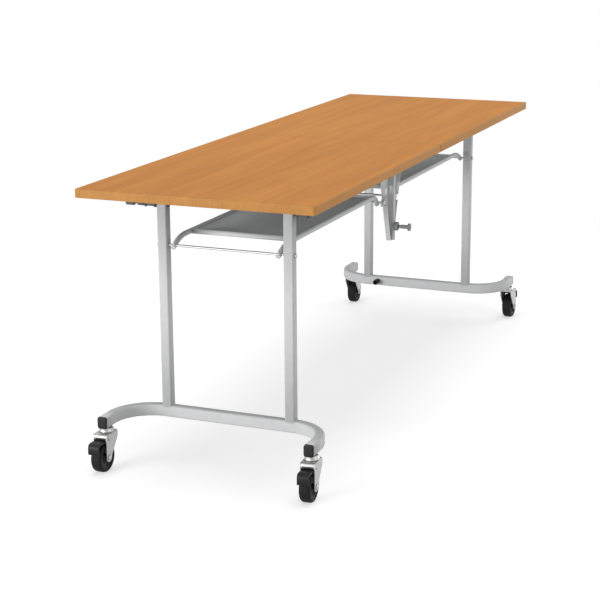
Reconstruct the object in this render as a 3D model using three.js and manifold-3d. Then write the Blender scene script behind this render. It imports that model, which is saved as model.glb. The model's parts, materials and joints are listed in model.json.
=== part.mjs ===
// A mobile training table that folds at its centre.
// Two half tops are hinged to a hanger at mid length. Lifting the hanger stands both halves upright
// and rolls the two legs together, while a split shelf below keeps the hanger and the legs plumb.
// Millimetres, +Z up. X runs along the table, Y across it, and the origin is on the floor at its centre.
// Left is -X, right is +X, front is -Y and back is +Y.
// The left half is drawn in place. The right half is the same set of pieces turned half round about Z.

import * as THREE from "three";
import { mergeVertices } from "three/addons/utils/BufferGeometryUtils.js";
import Module from "manifold-3d";

const wasm = await Module();
wasm.setup();

// Clearances
const FIT_GAP = 0.3;
const RUNNING_GAP = 0.4;
const CUT_PAST = 2;

// Table top
const TOP_LENGTH = 1800;
const TOP_WIDTH = 600;
const TOP_HEIGHT = 700;
const TOP_THICKNESS = 21;
const TOP_CORNER = 5;
const BAND_THICKNESS = 2;
const BAND_ROUND = 1.5;
const SEAM_GAP = 0.8;
const UNDERSIDE = TOP_HEIGHT - TOP_THICKNESS;

// Fold pivots, all with their axes along Y
const LEG_PIVOT_X = 718;
const CENTRE_PIVOT_X = 50;
const TOP_PIVOT_Z = 640;
const SHELF_PIVOT_Z = 541;

// Hinge brackets under the half tops
const BRACKET_PLATE = 3;
const BRACKET_EAR = 4;
const BRACKET_EAR_TOP_HALF = 22;
const BRACKET_LIP = 3;
const LEG_BRACKET = { x: LEG_PIVOT_X, inner: 183, outer: 212, half: 30, ear: 9, bore: 4.4, bush: 7 };
const CENTRE_BRACKET = { x: CENTRE_PIVOT_X, inner: 178, outer: 202, half: 25, ear: 12, bore: 6.4, bush: 9 };

// Hinge pins and shafts
const LEG_PIN_RADIUS = 4;
const LEG_PIN_HEAD_RADIUS = 7;
const LEG_PIN_HEAD = 3;
const LEG_PIN_SPACER_END_Y = 231;
const LEG_PIN_COLLAR_RADIUS = 8;
const LEG_PIN_COLLAR_Y = 241;
const LEG_PIN_END_Y = 262;
const CENTRE_SHAFT_RADIUS = 6;
const CENTRE_SHAFT_COLLAR_RADIUS = 9;
const CENTRE_SHAFT_COLLAR = 6;
const ROD_RADIUS = 3;
const ROD_NUT_RADIUS = 6;
const ROD_NUT = 4.5;
const EDGE_BREAK = 1;

// Legs
const POST_Y = 164;
const POST_SIZE = 25;
const POST_CORNER = 4;
const POST_WALL = 1.6;
const POST_TOP = 656;
const BASE_TOP = 137;
const BASE_HEIGHT = 30;
const BASE_WIDTH = 25;
const BASE_CORNER = 6;
const BASE_WALL = 1.6;
const BASE_BEND_RADIUS = 100;
const BASE_END_X = 864;
const BASE_END_Y = 269;
const BASE_MIDDLE_Z = BASE_TOP - BASE_HEIGHT / 2;
const CAP_FLANGE = 5;
const CAP_PLUG = 9;
const CAP_WALL = 2;
const BUFFER_Y = 128;
const BUFFER_RADIUS = 8;
const BUFFER_LENGTH = 25;
const BUFFER_BORE = 2.5;
const BUFFER_COUNTERBORE = 4.5;

// Shelf halves
const SHELF_TUBE_RADIUS = 6.5;
const SHELF_TUBE_Y = 137;
const SHELF_TUBE_Z = 558.5;
const SHELF_OUTER_BEND_X = 655;
const SHELF_OUTER_CONTROL_X = 690;
const SHELF_INNER_BEND_X = 84;
const SHELF_INNER_CONTROL_X = 62;
const SHELF_EYE = 9;
const CROSS_BAR_X = [85, 628];
const PANEL_SHEET = 1.6;
const PANEL_TOP = 560.5;
const PANEL_LIP = 10;
const PANEL_GAP = 0.5;

// Hanger at the centre
const HANGER_BOTTOM = 430;
const HANGER_BOTTOM_HALF = 13;
const HANGER_WAIST_Z = 610;
const HANGER_SHOULDER_Z = 640;
const HANGER_SHOULDER_HALF = 68;
const HANGER_TOP = 660;
const HANGER_TOP_HALF = 60;
const HANGER_LUG_RADIUS = 11;
const HANGER_NUT_RELIEF = 7.5;
const HANGER_SHEET = 3;
const HANGER_INNER_Y = 153;
const HANGER_FACE_Y = HANGER_INNER_Y + HANGER_SHEET;
const HANGER_FLANGE_Y = 166;
const STRUT_HALF = 8;
const STRUT_WALL = 1.5;
const STRUT_OUTER_Y = 172;
const WINDOW_BOTTOM = 552;
const WINDOW_TOP = 582;
const WINDOW_INNER_X = 14;
const WINDOW_SIDE_MARGIN = 9;

// Lock plunger on the front strut of the hanger, and the arm on the right shelf that it holds
const LOCK_Z = 468;
const LOCK_PIN_RADIUS = 4;
const LOCK_TRAVEL = 6;
const LOCK_HOUSING_RADIUS = 12;
const LOCK_HOUSING_END_Y = 183;
const LOCK_STEM_RADIUS = 5.4;
const LOCK_HEAD_RADIUS = 10.5;
const LOCK_HEAD_Y = 212;
const LOCK_HEAD_END_Y = 218;
const LOCK_ARM_SHEET = 4;
const LOCK_ARM_OUTER_Y = 151;
const LOCK_ARM_ROOT = 9;
const LOCK_ARM_TIP = 6;

// Casters, in a frame of their own: the swivel axis is Z and the wheel trails towards -X
const CASTER_X = 846;
const TRAIL = 24;
const WHEEL_RADIUS = 37.5;
const WHEEL_HALF = 14;
const TYRE_SHOULDER = 4;
const TYRE_INNER = 28;
const RIM_INNER = 24;
const WEB_HALF = 5;
const HUB_RADIUS = 9;
const HUB_HALF = 15.6;
const AXLE_RADIUS = 4;
const AXLE_HEAD_RADIUS = 7;
const AXLE_HEAD = 3.7;
const FORK_INNER_Y = 16;
const FORK_SHEET = 3;
const FORK_OUTER_Y = FORK_INNER_Y + FORK_SHEET;
const FORK_BRIDGE_BOTTOM = 92;
const FORK_TOP = 96;
const FORK_FRONT_X = 20;
const FORK_REAR_X = -35;
const FORK_CHEEK_Z = 80;
const FORK_APRON_BOTTOM = 84;
const FORK_EYE_RADIUS = 11;
const COLLAR_RADIUS = 18;
const COLLAR_NECK = 15;
const STEM_RADIUS = 5.5;
const STEM_TOP = 128;
const PEDAL_PIVOT_X = -26;
const PEDAL_PIVOT_Z = 83;
const PEDAL_PIN_RADIUS = 3;
const PEDAL_LUG_RADIUS = 5;
const PEDAL_HALF = 15;
const PEDAL_INNER_X = -23;
const PEDAL_OUTER_X = -69;
const PEDAL_THICKNESS = 5;
const PEDAL_TOP = 82;
const PEDAL_BOTTOM = 54;
const PEDAL_NOSE = 6;
const PARKED_SWIVEL = THREE.MathUtils.degToRad(4);

// Facets
const ROUND_FACETS = 10;
const WHEEL_FACETS = 24;
const STEM_FACETS = 14;
const CORNER_FACETS = 1;
const BEND_FACETS = 7;

const LEFT = { name: "left", turn: 0, sides: { [-1]: "front", 1: "back" } };
const RIGHT = { name: "right", turn: Math.PI, sides: { [-1]: "back", 1: "front" } };
const SIDES = [-1, 1];

// Finishes

const laminate = () => finish(0xc6894d, 0.45, 0);
const edgeBand = () => finish(0xd9924f, 0.4, 0);
const greyPaint = () => finish(0xbfc0c0, 0.38, 0.35);
const shelfPaint = () => finish(0x9a9c9d, 0.5, 0.2);
const zincSteel = () => finish(0xb4b5b3, 0.3, 0.9);
const blackPaint = () => finish(0x2a2b2c, 0.45, 0.3);
const blackPlastic = () => finish(0x1c1c1d, 0.5, 0);
const blackRubber = () => finish(0x161616, 0.8, 0);
const greyPlastic = () => finish(0x6d6f70, 0.5, 0);

function finish(color, roughness, metalness) {
  return new THREE.MeshStandardMaterial({ color, roughness, metalness });
}

// Solids: making, joining, cutting and adding to the table

function solidOf(geometry) {
  const bare = geometry.index ? geometry.toNonIndexed() : geometry;
  bare.deleteAttribute("normal");
  bare.deleteAttribute("uv");
  const merged = mergeVertices(bare, 1e-4);
  return new wasm.Manifold(
    new wasm.Mesh({
      numProp: 3,
      vertProperties: merged.attributes.position.array,
      triVerts: new Uint32Array(merged.index.array),
    }),
  );
}

function join(first, ...others) {
  return others.reduce((whole, other) => whole.add(other), first);
}

function cut(body, ...tools) {
  return tools.reduce((rest, tool) => rest.subtract(tool), body);
}

function addPiece(group, name, solid, material) {
  const { vertProperties, triVerts } = solid.getMesh();
  const geometry = new THREE.BufferGeometry();
  geometry.setAttribute("position", new THREE.BufferAttribute(vertProperties, 3));
  geometry.setIndex(new THREE.BufferAttribute(triVerts, 1));
  geometry.computeVertexNormals();
  const mesh = new THREE.Mesh(geometry, material);
  mesh.name = name;
  group.add(mesh);
}

// Basic forms

// The two Y limits of a span on one side of the table, the lower one first.
function spanY(side, near, far) {
  return side > 0 ? [near, far] : [-far, -near];
}

function box([x0, x1], [y0, y1], [z0, z1]) {
  const geometry = new THREE.BoxGeometry(x1 - x0, y1 - y0, z1 - z0);
  return solidOf(geometry.translate((x0 + x1) / 2, (y0 + y1) / 2, (z0 + z1) / 2));
}

// A round bar along Y.
function barY(radius, x, [y0, y1], z) {
  const geometry = new THREE.CylinderGeometry(radius, radius, y1 - y0, ROUND_FACETS);
  return solidOf(geometry.translate(x, (y0 + y1) / 2, z));
}

// A round bar along Z.
function barZ(radius, x, y, [z0, z1]) {
  const geometry = new THREE.CylinderGeometry(radius, radius, z1 - z0, ROUND_FACETS);
  return solidOf(geometry.rotateX(Math.PI / 2).translate(x, y, (z0 + z1) / 2));
}

// An outline drawn in X and Z, made a plate along Y.
function plateY(shape, [y0, y1]) {
  const options = { depth: y1 - y0, bevelEnabled: false, curveSegments: ROUND_FACETS / 2 };
  return solidOf(new THREE.ExtrudeGeometry(shape, options).rotateX(Math.PI / 2).translate(0, y1, 0));
}

// An outline drawn about a point in X and Y, made a column along Z.
function columnZ(shape, x, y, [z0, z1]) {
  const options = { depth: z1 - z0, bevelEnabled: false, curveSegments: CORNER_FACETS };
  return solidOf(new THREE.ExtrudeGeometry(shape, options).translate(x, y, z0));
}

// A profile of [radius, height] pairs turned about Y.
function turned(profile, facets = ROUND_FACETS) {
  return new THREE.LatheGeometry(
    profile.map(([radius, height]) => new THREE.Vector2(radius, height)),
    facets,
  );
}

// A profile with its heights reversed, for the other end of a symmetrical turning.
function reversed(profile) {
  return profile.map(([radius, height]) => [radius, -height]).reverse();
}

function roundedRectangle(width, height, radius) {
  const x = width / 2 - radius;
  const y = height / 2 - radius;
  const shape = new THREE.Shape();
  shape.absarc(x, y, radius, 0, Math.PI / 2);
  shape.absarc(-x, y, radius, Math.PI / 2, Math.PI);
  shape.absarc(-x, -y, radius, Math.PI, 1.5 * Math.PI);
  shape.absarc(x, -y, radius, 1.5 * Math.PI, 2 * Math.PI);
  return shape;
}

function roundHole(x, y, radius) {
  return new THREE.Path().absarc(x, y, radius, 0, 2 * Math.PI, true);
}

// A path through given points that is sampled only at them, so that straight runs take no extra facets.
class PointPath extends THREE.Curve {
  constructor(points) {
    super();
    this.points = points;
  }

  getPoint(t) {
    const place = t * (this.points.length - 1);
    const index = Math.min(Math.max(Math.floor(place), 0), this.points.length - 2);
    return this.points[index].clone().lerp(this.points[index + 1], place - index);
  }

  getUtoTmapping(u) {
    return u;
  }
}

function swept(shape, points, curveSegments) {
  const extrudePath = new PointPath(points);
  const options = { steps: points.length - 1, extrudePath, curveSegments };
  return solidOf(new THREE.ExtrudeGeometry(shape, options));
}

// The same path with a straight piece added at both ends.
function lengthened(points, extra) {
  const beyond = (end, before) => end.clone().add(end.clone().sub(before).setLength(extra));
  return [beyond(points[0], points[1]), ...points, beyond(points.at(-1), points.at(-2))];
}

// Table top: a laminated board, an edge band and four hinge brackets for each half

function halfTopColumn(inset, zSpan) {
  const x0 = -TOP_LENGTH / 2 + inset;
  const x1 = -SEAM_GAP / 2 - inset;
  const shape = roundedRectangle(x1 - x0, TOP_WIDTH - 2 * inset, TOP_CORNER - inset);
  return columnZ(shape, (x0 + x1) / 2, 0, zSpan);
}

function board() {
  return halfTopColumn(BAND_THICKNESS + FIT_GAP, [UNDERSIDE, TOP_HEIGHT]);
}

// The band's outer edges are rounded by stacking a full-size core between two smaller rims.
function edgeBandRing() {
  const outside = join(
    halfTopColumn(0, [UNDERSIDE + BAND_ROUND, TOP_HEIGHT - BAND_ROUND]),
    halfTopColumn(BAND_ROUND * 0.3, [UNDERSIDE + BAND_ROUND * 0.3, TOP_HEIGHT - BAND_ROUND * 0.3]),
    halfTopColumn(BAND_ROUND * 0.7, [UNDERSIDE, TOP_HEIGHT]),
  );
  return cut(outside, halfTopColumn(BAND_THICKNESS, [UNDERSIDE - CUT_PAST, TOP_HEIGHT + CUT_PAST]));
}

// One ear of a bracket in X and Z, round below and spreading up to the base plate.
function bracketEar(x, radius) {
  const top = UNDERSIDE - FIT_GAP;
  const shape = new THREE.Shape();
  shape.moveTo(x - BRACKET_EAR_TOP_HALF, top);
  shape.absarc(x, TOP_PIVOT_Z, radius, Math.PI, 2 * Math.PI);
  shape.lineTo(x + BRACKET_EAR_TOP_HALF, top);
  shape.closePath();
  return shape;
}

// A base plate screwed to the top, two ears and a bush between them, bored for a pin.
function hingeBracket({ x, inner, outer, half, ear, bore, bush }, side) {
  const top = UNDERSIDE - FIT_GAP;
  const earShape = bracketEar(-x, ear);
  const plateSpan = spanY(side, inner - BRACKET_LIP, outer + BRACKET_LIP);
  const body = join(
    box([-x - half, -x + half], plateSpan, [top - BRACKET_PLATE, top]),
    plateY(earShape, spanY(side, inner, inner + BRACKET_EAR)),
    plateY(earShape, spanY(side, outer - BRACKET_EAR, outer)),
    barY(bush, -x, spanY(side, inner + 1, outer - 1), TOP_PIVOT_Z),
  );
  return cut(body, barY(bore, -x, spanY(side, inner - CUT_PAST, outer + CUT_PAST), TOP_PIVOT_Z));
}

function addHalfTop(group, end) {
  addPiece(group, `${end.name}_board`, board(), laminate());
  addPiece(group, `${end.name}_edge_band`, edgeBandRing(), edgeBand());
  for (const side of SIDES) {
    const place = end.sides[side];
    addPiece(group, `${end.name}_leg_bracket_${place}`, hingeBracket(LEG_BRACKET, side), blackPaint());
    addPiece(group, `${end.name}_centre_bracket_${place}`, hingeBracket(CENTRE_BRACKET, side), greyPaint());
  }
}

// Legs: a bent base tube with plugged ends, two square posts, two hinge pins and, at one end, a buffer

function basePoints() {
  const bendX = -LEG_PIVOT_X - BASE_BEND_RADIUS;
  const bendY = BASE_END_Y - BASE_BEND_RADIUS;
  const half = [new THREE.Vector3(-BASE_END_X, BASE_END_Y, BASE_MIDDLE_Z)];
  for (let i = 0; i <= BEND_FACETS; i += 1) {
    const angle = (Math.PI / 2) * (1 - i / BEND_FACETS);
    const x = bendX + BASE_BEND_RADIUS * Math.cos(angle);
    const y = bendY + BASE_BEND_RADIUS * Math.sin(angle);
    half.push(new THREE.Vector3(x, y, BASE_MIDDLE_Z));
  }
  const otherHalf = half.map((point) => new THREE.Vector3(point.x, -point.y, point.z)).reverse();
  return [...half, ...otherHalf];
}

// The outline of the base tube's section, with its height along the outline's x.
function baseSection(inset) {
  const corner = Math.max(BASE_CORNER - inset, EDGE_BREAK);
  return roundedRectangle(BASE_HEIGHT - 2 * inset, BASE_WIDTH - 2 * inset, corner);
}

function baseTube() {
  const points = basePoints();
  const bottom = BASE_TOP - BASE_HEIGHT;
  const holeSpan = [bottom - CUT_PAST, bottom + BASE_WALL + CUT_PAST];
  return cut(
    swept(baseSection(0), points, CORNER_FACETS),
    swept(baseSection(BASE_WALL), lengthened(points, CUT_PAST), CORNER_FACETS),
    ...SIDES.map((side) => barZ(STEM_RADIUS + FIT_GAP, -CASTER_X, side * BASE_END_Y, holeSpan)),
  );
}

// A square post whose foot is coped to the rounded top of the base bar.
function post(side) {
  const bottom = BASE_TOP - BASE_CORNER;
  const y = side * POST_Y;
  const bore = POST_SIZE - 2 * POST_WALL;
  const across = spanY(side, POST_Y - POST_SIZE, POST_Y + POST_SIZE);
  return cut(
    columnZ(roundedRectangle(POST_SIZE, POST_SIZE, POST_CORNER), -LEG_PIVOT_X, y, [bottom, POST_TOP]),
    columnZ(roundedRectangle(bore, bore, POST_CORNER - POST_WALL), -LEG_PIVOT_X, y, [
      bottom - CUT_PAST,
      POST_TOP + CUT_PAST,
    ]),
    swept(baseSection(-FIT_GAP), basePoints(), CORNER_FACETS),
    barY(LEG_PIN_RADIUS + FIT_GAP, -LEG_PIVOT_X, across, TOP_PIVOT_Z),
    barY(ROD_RADIUS + RUNNING_GAP, -LEG_PIVOT_X, across, SHELF_PIVOT_Z),
  );
}

// The outer end of a hinge pin on the front: a plain head against the bracket.
function shortPinEnd(start) {
  return [
    [LEG_PIN_HEAD_RADIUS, start],
    [LEG_PIN_HEAD_RADIUS, start + LEG_PIN_HEAD - EDGE_BREAK],
    [LEG_PIN_HEAD_RADIUS - EDGE_BREAK, start + LEG_PIN_HEAD],
    [0, start + LEG_PIN_HEAD],
  ];
}

// The outer end of a hinge pin on the back: a spacer against the bracket, a neck and an end collar.
function longPinEnd(start) {
  return [
    [LEG_PIN_HEAD_RADIUS, start],
    [LEG_PIN_HEAD_RADIUS, LEG_PIN_SPACER_END_Y],
    [LEG_PIN_RADIUS, LEG_PIN_SPACER_END_Y],
    [LEG_PIN_RADIUS, LEG_PIN_COLLAR_Y],
    [LEG_PIN_COLLAR_RADIUS, LEG_PIN_COLLAR_Y],
    [LEG_PIN_COLLAR_RADIUS, LEG_PIN_END_Y - EDGE_BREAK],
    [LEG_PIN_COLLAR_RADIUS - EDGE_BREAK, LEG_PIN_END_Y],
    [0, LEG_PIN_END_Y],
  ];
}

// A headed pin through the post and the leg bracket.
function legPin(side, pinEnd) {
  const headEnd = POST_Y - POST_SIZE / 2 - FIT_GAP;
  const bracketEnd = LEG_BRACKET.outer + BRACKET_LIP + FIT_GAP;
  const profile = [
    [0, headEnd - LEG_PIN_HEAD],
    [LEG_PIN_HEAD_RADIUS - EDGE_BREAK, headEnd - LEG_PIN_HEAD],
    [LEG_PIN_HEAD_RADIUS, headEnd - LEG_PIN_HEAD + EDGE_BREAK],
    [LEG_PIN_HEAD_RADIUS, headEnd],
    [LEG_PIN_RADIUS, headEnd],
    [LEG_PIN_RADIUS, bracketEnd],
    ...pinEnd(bracketEnd),
  ];
  const pin = turned(side > 0 ? profile : reversed(profile));
  return solidOf(pin.translate(-LEG_PIVOT_X, 0, TOP_PIVOT_Z));
}

// A flange the size of the tube with a hollow plug behind it, drawn along Z.
function baseCap() {
  const wall = BASE_WALL + FIT_GAP;
  const column = (inset, zSpan) => columnZ(baseSection(inset), 0, 0, zSpan);
  const body = join(
    column(0, [EDGE_BREAK, CAP_FLANGE]),
    column(EDGE_BREAK, [0, CAP_FLANGE]),
    column(wall, [EDGE_BREAK, CAP_FLANGE + CAP_PLUG]),
  );
  return cut(body, column(wall + CAP_WALL, [CAP_FLANGE, CAP_FLANGE + CAP_PLUG + CUT_PAST]));
}

function addBaseCap(group, name, side) {
  const holder = new THREE.Group();
  holder.rotation.y = Math.PI / 2;
  holder.position.set(-BASE_END_X - CAP_FLANGE - FIT_GAP, side * BASE_END_Y, BASE_MIDDLE_Z);
  addPiece(holder, name, baseCap(), blackPlastic());
  group.add(holder);
}

// A round rubber buffer with a sunk screw hole, on the inner face of the base bar.
function buffer(side) {
  const shoulder = BUFFER_RADIUS * 0.3;
  const profile = [
    [BUFFER_BORE, 0],
    [BUFFER_RADIUS, 0],
    [BUFFER_RADIUS, BUFFER_LENGTH - shoulder],
    [BUFFER_RADIUS - shoulder * 0.3, BUFFER_LENGTH - shoulder * 0.3],
    [BUFFER_RADIUS - shoulder, BUFFER_LENGTH],
    [BUFFER_COUNTERBORE, BUFFER_LENGTH],
    [BUFFER_COUNTERBORE, BUFFER_LENGTH / 2],
    [BUFFER_BORE, BUFFER_LENGTH / 2],
    [BUFFER_BORE, 0],
  ];
  const x = -LEG_PIVOT_X + BASE_WIDTH / 2 + FIT_GAP;
  return solidOf(turned(profile).rotateZ(-Math.PI / 2).translate(x, side * BUFFER_Y, BASE_MIDDLE_Z));
}

function addLeg(group, end) {
  addPiece(group, `${end.name}_base_tube`, baseTube(), greyPaint());
  for (const side of SIDES) {
    const place = end.sides[side];
    addPiece(group, `${end.name}_post_${place}`, post(side), greyPaint());
    const pinEnd = place === "back" ? longPinEnd : shortPinEnd;
    addPiece(group, `${end.name}_hinge_pin_${place}`, legPin(side, pinEnd), blackPaint());
    addBaseCap(group, `${end.name}_base_cap_${place}`, side);
    if (end === RIGHT && place === "back") {
      addPiece(group, `${end.name}_buffer`, buffer(side), blackRubber());
    }
  }
}

// Shelf halves: a welded ring of tube, a lipped sheet panel and two pivot rods

// The centre line of a shelf tube: it rises from the leg pivot, runs level and drops to the hanger pivot.
function shelfTubePoints(y) {
  const point = (x, z) => new THREE.Vector3(-x, y, z);
  const outer = new THREE.QuadraticBezierCurve3(
    point(LEG_PIVOT_X, SHELF_PIVOT_Z),
    point(SHELF_OUTER_CONTROL_X, SHELF_TUBE_Z),
    point(SHELF_OUTER_BEND_X, SHELF_TUBE_Z),
  );
  const inner = new THREE.QuadraticBezierCurve3(
    point(SHELF_INNER_BEND_X, SHELF_TUBE_Z),
    point(SHELF_INNER_CONTROL_X, SHELF_TUBE_Z),
    point(CENTRE_PIVOT_X, SHELF_PIVOT_Z),
  );
  return lengthened([...outer.getPoints(BEND_FACETS - 1), ...inner.getPoints(BEND_FACETS - 2)], SHELF_EYE);
}

function shelfFrame() {
  const circle = new THREE.Shape().absarc(0, 0, SHELF_TUBE_RADIUS, 0, 2 * Math.PI);
  const between = [-SHELF_TUBE_Y, SHELF_TUBE_Y];
  const past = SHELF_TUBE_Y + SHELF_TUBE_RADIUS + CUT_PAST;
  const eyeBore = (x) => barY(ROD_RADIUS + FIT_GAP, -x, [-past, past], SHELF_PIVOT_Z);
  return cut(
    join(
      ...SIDES.map((side) => swept(circle, shelfTubePoints(side * SHELF_TUBE_Y), ROUND_FACETS / 2)),
      ...CROSS_BAR_X.map((x) => barY(SHELF_TUBE_RADIUS, -x, between, SHELF_TUBE_Z)),
    ),
    eyeBore(LEG_PIVOT_X),
    eyeBore(CENTRE_PIVOT_X),
  );
}

// A sheet inside the ring of tube, with a lip turned down on all four edges.
function shelfPanel() {
  const inset = SHELF_TUBE_RADIUS + PANEL_GAP;
  const y = SHELF_TUBE_Y - inset;
  const x0 = -CROSS_BAR_X[1] + inset;
  const x1 = -CROSS_BAR_X[0] - inset;
  const sheet = box([x0, x1], [-y, y], [PANEL_TOP - PANEL_LIP, PANEL_TOP]);
  const under = box(
    [x0 + PANEL_SHEET, x1 - PANEL_SHEET],
    [-y + PANEL_SHEET, y - PANEL_SHEET],
    [PANEL_TOP - PANEL_LIP - CUT_PAST, PANEL_TOP - PANEL_SHEET],
  );
  return cut(sheet, under);
}

// A rod along Y with a nut, or a collar, at each end.
function nuttedRod(x, z, radius, reach, nutRadius, nut) {
  const end = [
    [0, -reach],
    [nutRadius - EDGE_BREAK, -reach],
    [nutRadius, -reach + EDGE_BREAK],
    [nutRadius, -reach + nut],
    [radius, -reach + nut],
  ];
  return solidOf(turned([...end, ...reversed(end)]).translate(x, 0, z));
}

function shelfRod(x, faceY) {
  const reach = faceY + RUNNING_GAP + ROD_NUT;
  return nuttedRod(-x, SHELF_PIVOT_Z, ROD_RADIUS, reach, ROD_NUT_RADIUS, ROD_NUT);
}

function addShelf(group, end) {
  const postFace = POST_Y + POST_SIZE / 2;
  addPiece(group, `${end.name}_shelf_frame`, shelfFrame(), greyPaint());
  addPiece(group, `${end.name}_shelf_panel`, shelfPanel(), shelfPaint());
  addPiece(group, `${end.name}_shelf_rod_outer`, shelfRod(LEG_PIVOT_X, postFace), zincSteel());
  addPiece(group, `${end.name}_shelf_rod_inner`, shelfRod(CENTRE_PIVOT_X, HANGER_FACE_Y), zincSteel());
}

// Hanger: two pressed plates with flanged sides and a square strut, tied by two hinge shafts

// Corners of the hanger's outline in X and Z, from the bottom up the +X side, each moved in by an inset.
function hangerCorners(inset) {
  return [
    [HANGER_BOTTOM_HALF - inset, HANGER_BOTTOM],
    [HANGER_SHOULDER_HALF - inset, HANGER_WAIST_Z],
    [HANGER_SHOULDER_HALF - inset, HANGER_SHOULDER_Z],
    [HANGER_TOP_HALF - inset, HANGER_TOP],
  ];
}

function hangerOutline() {
  const rightSide = hangerCorners(0);
  const leftSide = rightSide.map(([x, z]) => [-x, z]).reverse();
  return new THREE.Shape([...rightSide, ...leftSide].map(([x, z]) => new THREE.Vector2(x, z)));
}

// The flange along one slanted edge, up to the shoulder.
function hangerFlange(edge) {
  const outer = hangerCorners(0).slice(0, 3);
  const inner = hangerCorners(HANGER_SHEET).slice(0, 3).reverse();
  return new THREE.Shape([...outer, ...inner].map(([x, z]) => new THREE.Vector2(edge * x, z)));
}

function hangerHalfWidth(z) {
  const share = (z - HANGER_BOTTOM) / (HANGER_WAIST_Z - HANGER_BOTTOM);
  return THREE.MathUtils.lerp(HANGER_BOTTOM_HALF, HANGER_SHOULDER_HALF, share);
}

// The see-through gap between the strut and a slanted edge.
function hangerWindow(edge) {
  const corners = [
    [WINDOW_INNER_X, WINDOW_BOTTOM],
    [hangerHalfWidth(WINDOW_BOTTOM) - WINDOW_SIDE_MARGIN, WINDOW_BOTTOM],
    [hangerHalfWidth(WINDOW_TOP) - WINDOW_SIDE_MARGIN, WINDOW_TOP],
    [WINDOW_INNER_X, WINDOW_TOP],
  ];
  return new THREE.Shape(corners.map(([x, z]) => new THREE.Vector2(edge * x, z)));
}

// The square strut's bore, open at both ends.
function strutBore(side) {
  const inner = STRUT_HALF - STRUT_WALL;
  return box(
    [-inner, inner],
    spanY(side, HANGER_FACE_Y + STRUT_WALL, STRUT_OUTER_Y - STRUT_WALL),
    [HANGER_BOTTOM - CUT_PAST, HANGER_TOP + CUT_PAST],
  );
}

function hangerPlate(side) {
  const through = spanY(side, HANGER_INNER_Y - CUT_PAST, STRUT_OUTER_Y + CUT_PAST);
  const flangeSpan = spanY(side, HANGER_INNER_Y, HANGER_FLANGE_Y);
  const strutSpan = spanY(side, HANGER_FACE_Y - 1, STRUT_OUTER_Y);
  const lugs = SIDES.map((edge) =>
    barY(HANGER_LUG_RADIUS, edge * CENTRE_PIVOT_X, spanY(side, HANGER_INNER_Y, HANGER_FACE_Y), SHELF_PIVOT_Z),
  );
  const nutRelief = SIDES.map((edge) => {
    const relief = spanY(side, HANGER_FACE_Y, HANGER_FLANGE_Y + CUT_PAST);
    return barY(HANGER_NUT_RELIEF, edge * CENTRE_PIVOT_X, relief, SHELF_PIVOT_Z);
  });
  const pressed = join(
    plateY(hangerOutline(), spanY(side, HANGER_INNER_Y, HANGER_FACE_Y)),
    ...SIDES.map((edge) => plateY(hangerFlange(edge), flangeSpan)),
    ...lugs,
    box([-STRUT_HALF, STRUT_HALF], strutSpan, [HANGER_BOTTOM, HANGER_TOP]),
  );
  const pivotHoles = SIDES.flatMap((edge) => [
    barY(CENTRE_SHAFT_RADIUS + FIT_GAP, edge * CENTRE_PIVOT_X, through, TOP_PIVOT_Z),
    barY(ROD_RADIUS + RUNNING_GAP, edge * CENTRE_PIVOT_X, through, SHELF_PIVOT_Z),
  ]);
  const lockHole = barY(LOCK_PIN_RADIUS + RUNNING_GAP, 0, through, LOCK_Z);
  return cut(
    pressed,
    strutBore(side),
    ...nutRelief,
    ...SIDES.map((edge) => plateY(hangerWindow(edge), through)),
    ...pivotHoles,
    ...(side < 0 ? [lockHole] : []),
  );
}

function hangerShaft(edge) {
  const reach = CENTRE_BRACKET.outer + 1 + CENTRE_SHAFT_COLLAR;
  return nuttedRod(
    edge * CENTRE_PIVOT_X,
    TOP_PIVOT_Z,
    CENTRE_SHAFT_RADIUS,
    reach,
    CENTRE_SHAFT_COLLAR_RADIUS,
    CENTRE_SHAFT_COLLAR,
  );
}

function addHanger(group) {
  addPiece(group, "hanger_plate_front", hangerPlate(-1), greyPaint());
  addPiece(group, "hanger_plate_back", hangerPlate(1), greyPaint());
  addPiece(group, "hanger_shaft_left", hangerShaft(-1), zincSteel());
  addPiece(group, "hanger_shaft_right", hangerShaft(1), zincSteel());
}

// Lock: a housing on the strut, a plunger drawn out to its free position, and an arm on the right shelf

function lockHousing() {
  const face = STRUT_OUTER_Y + FIT_GAP;
  const bore = LOCK_PIN_RADIUS + RUNNING_GAP;
  const profile = [
    [bore, -LOCK_HOUSING_END_Y],
    [LOCK_HOUSING_RADIUS - CUT_PAST, -LOCK_HOUSING_END_Y],
    [LOCK_HOUSING_RADIUS, -LOCK_HOUSING_END_Y + CUT_PAST],
    [LOCK_HOUSING_RADIUS, -face],
    [bore, -face],
    [bore, -LOCK_HOUSING_END_Y],
  ];
  return solidOf(turned(profile).translate(0, 0, LOCK_Z));
}

// Pin, stem and flanged pull head in one turning. The stem clears the housing by the travel.
function lockPlunger() {
  const shoulder = LOCK_HOUSING_END_Y + LOCK_TRAVEL + RUNNING_GAP;
  const nose = HANGER_INNER_Y + RUNNING_GAP;
  const profile = [
    [0, -LOCK_HEAD_END_Y],
    [LOCK_HEAD_RADIUS - EDGE_BREAK, -LOCK_HEAD_END_Y],
    [LOCK_HEAD_RADIUS, -LOCK_HEAD_END_Y + EDGE_BREAK],
    [LOCK_HEAD_RADIUS, -LOCK_HEAD_Y - EDGE_BREAK],
    [LOCK_HEAD_RADIUS - EDGE_BREAK, -LOCK_HEAD_Y],
    [LOCK_STEM_RADIUS, -LOCK_HEAD_Y],
    [LOCK_STEM_RADIUS, -shoulder],
    [LOCK_PIN_RADIUS, -shoulder],
    [LOCK_PIN_RADIUS, -nose - EDGE_BREAK],
    [LOCK_PIN_RADIUS - EDGE_BREAK, -nose],
    [0, -nose],
  ];
  return solidOf(turned(profile).translate(0, 0, LOCK_Z));
}

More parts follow.
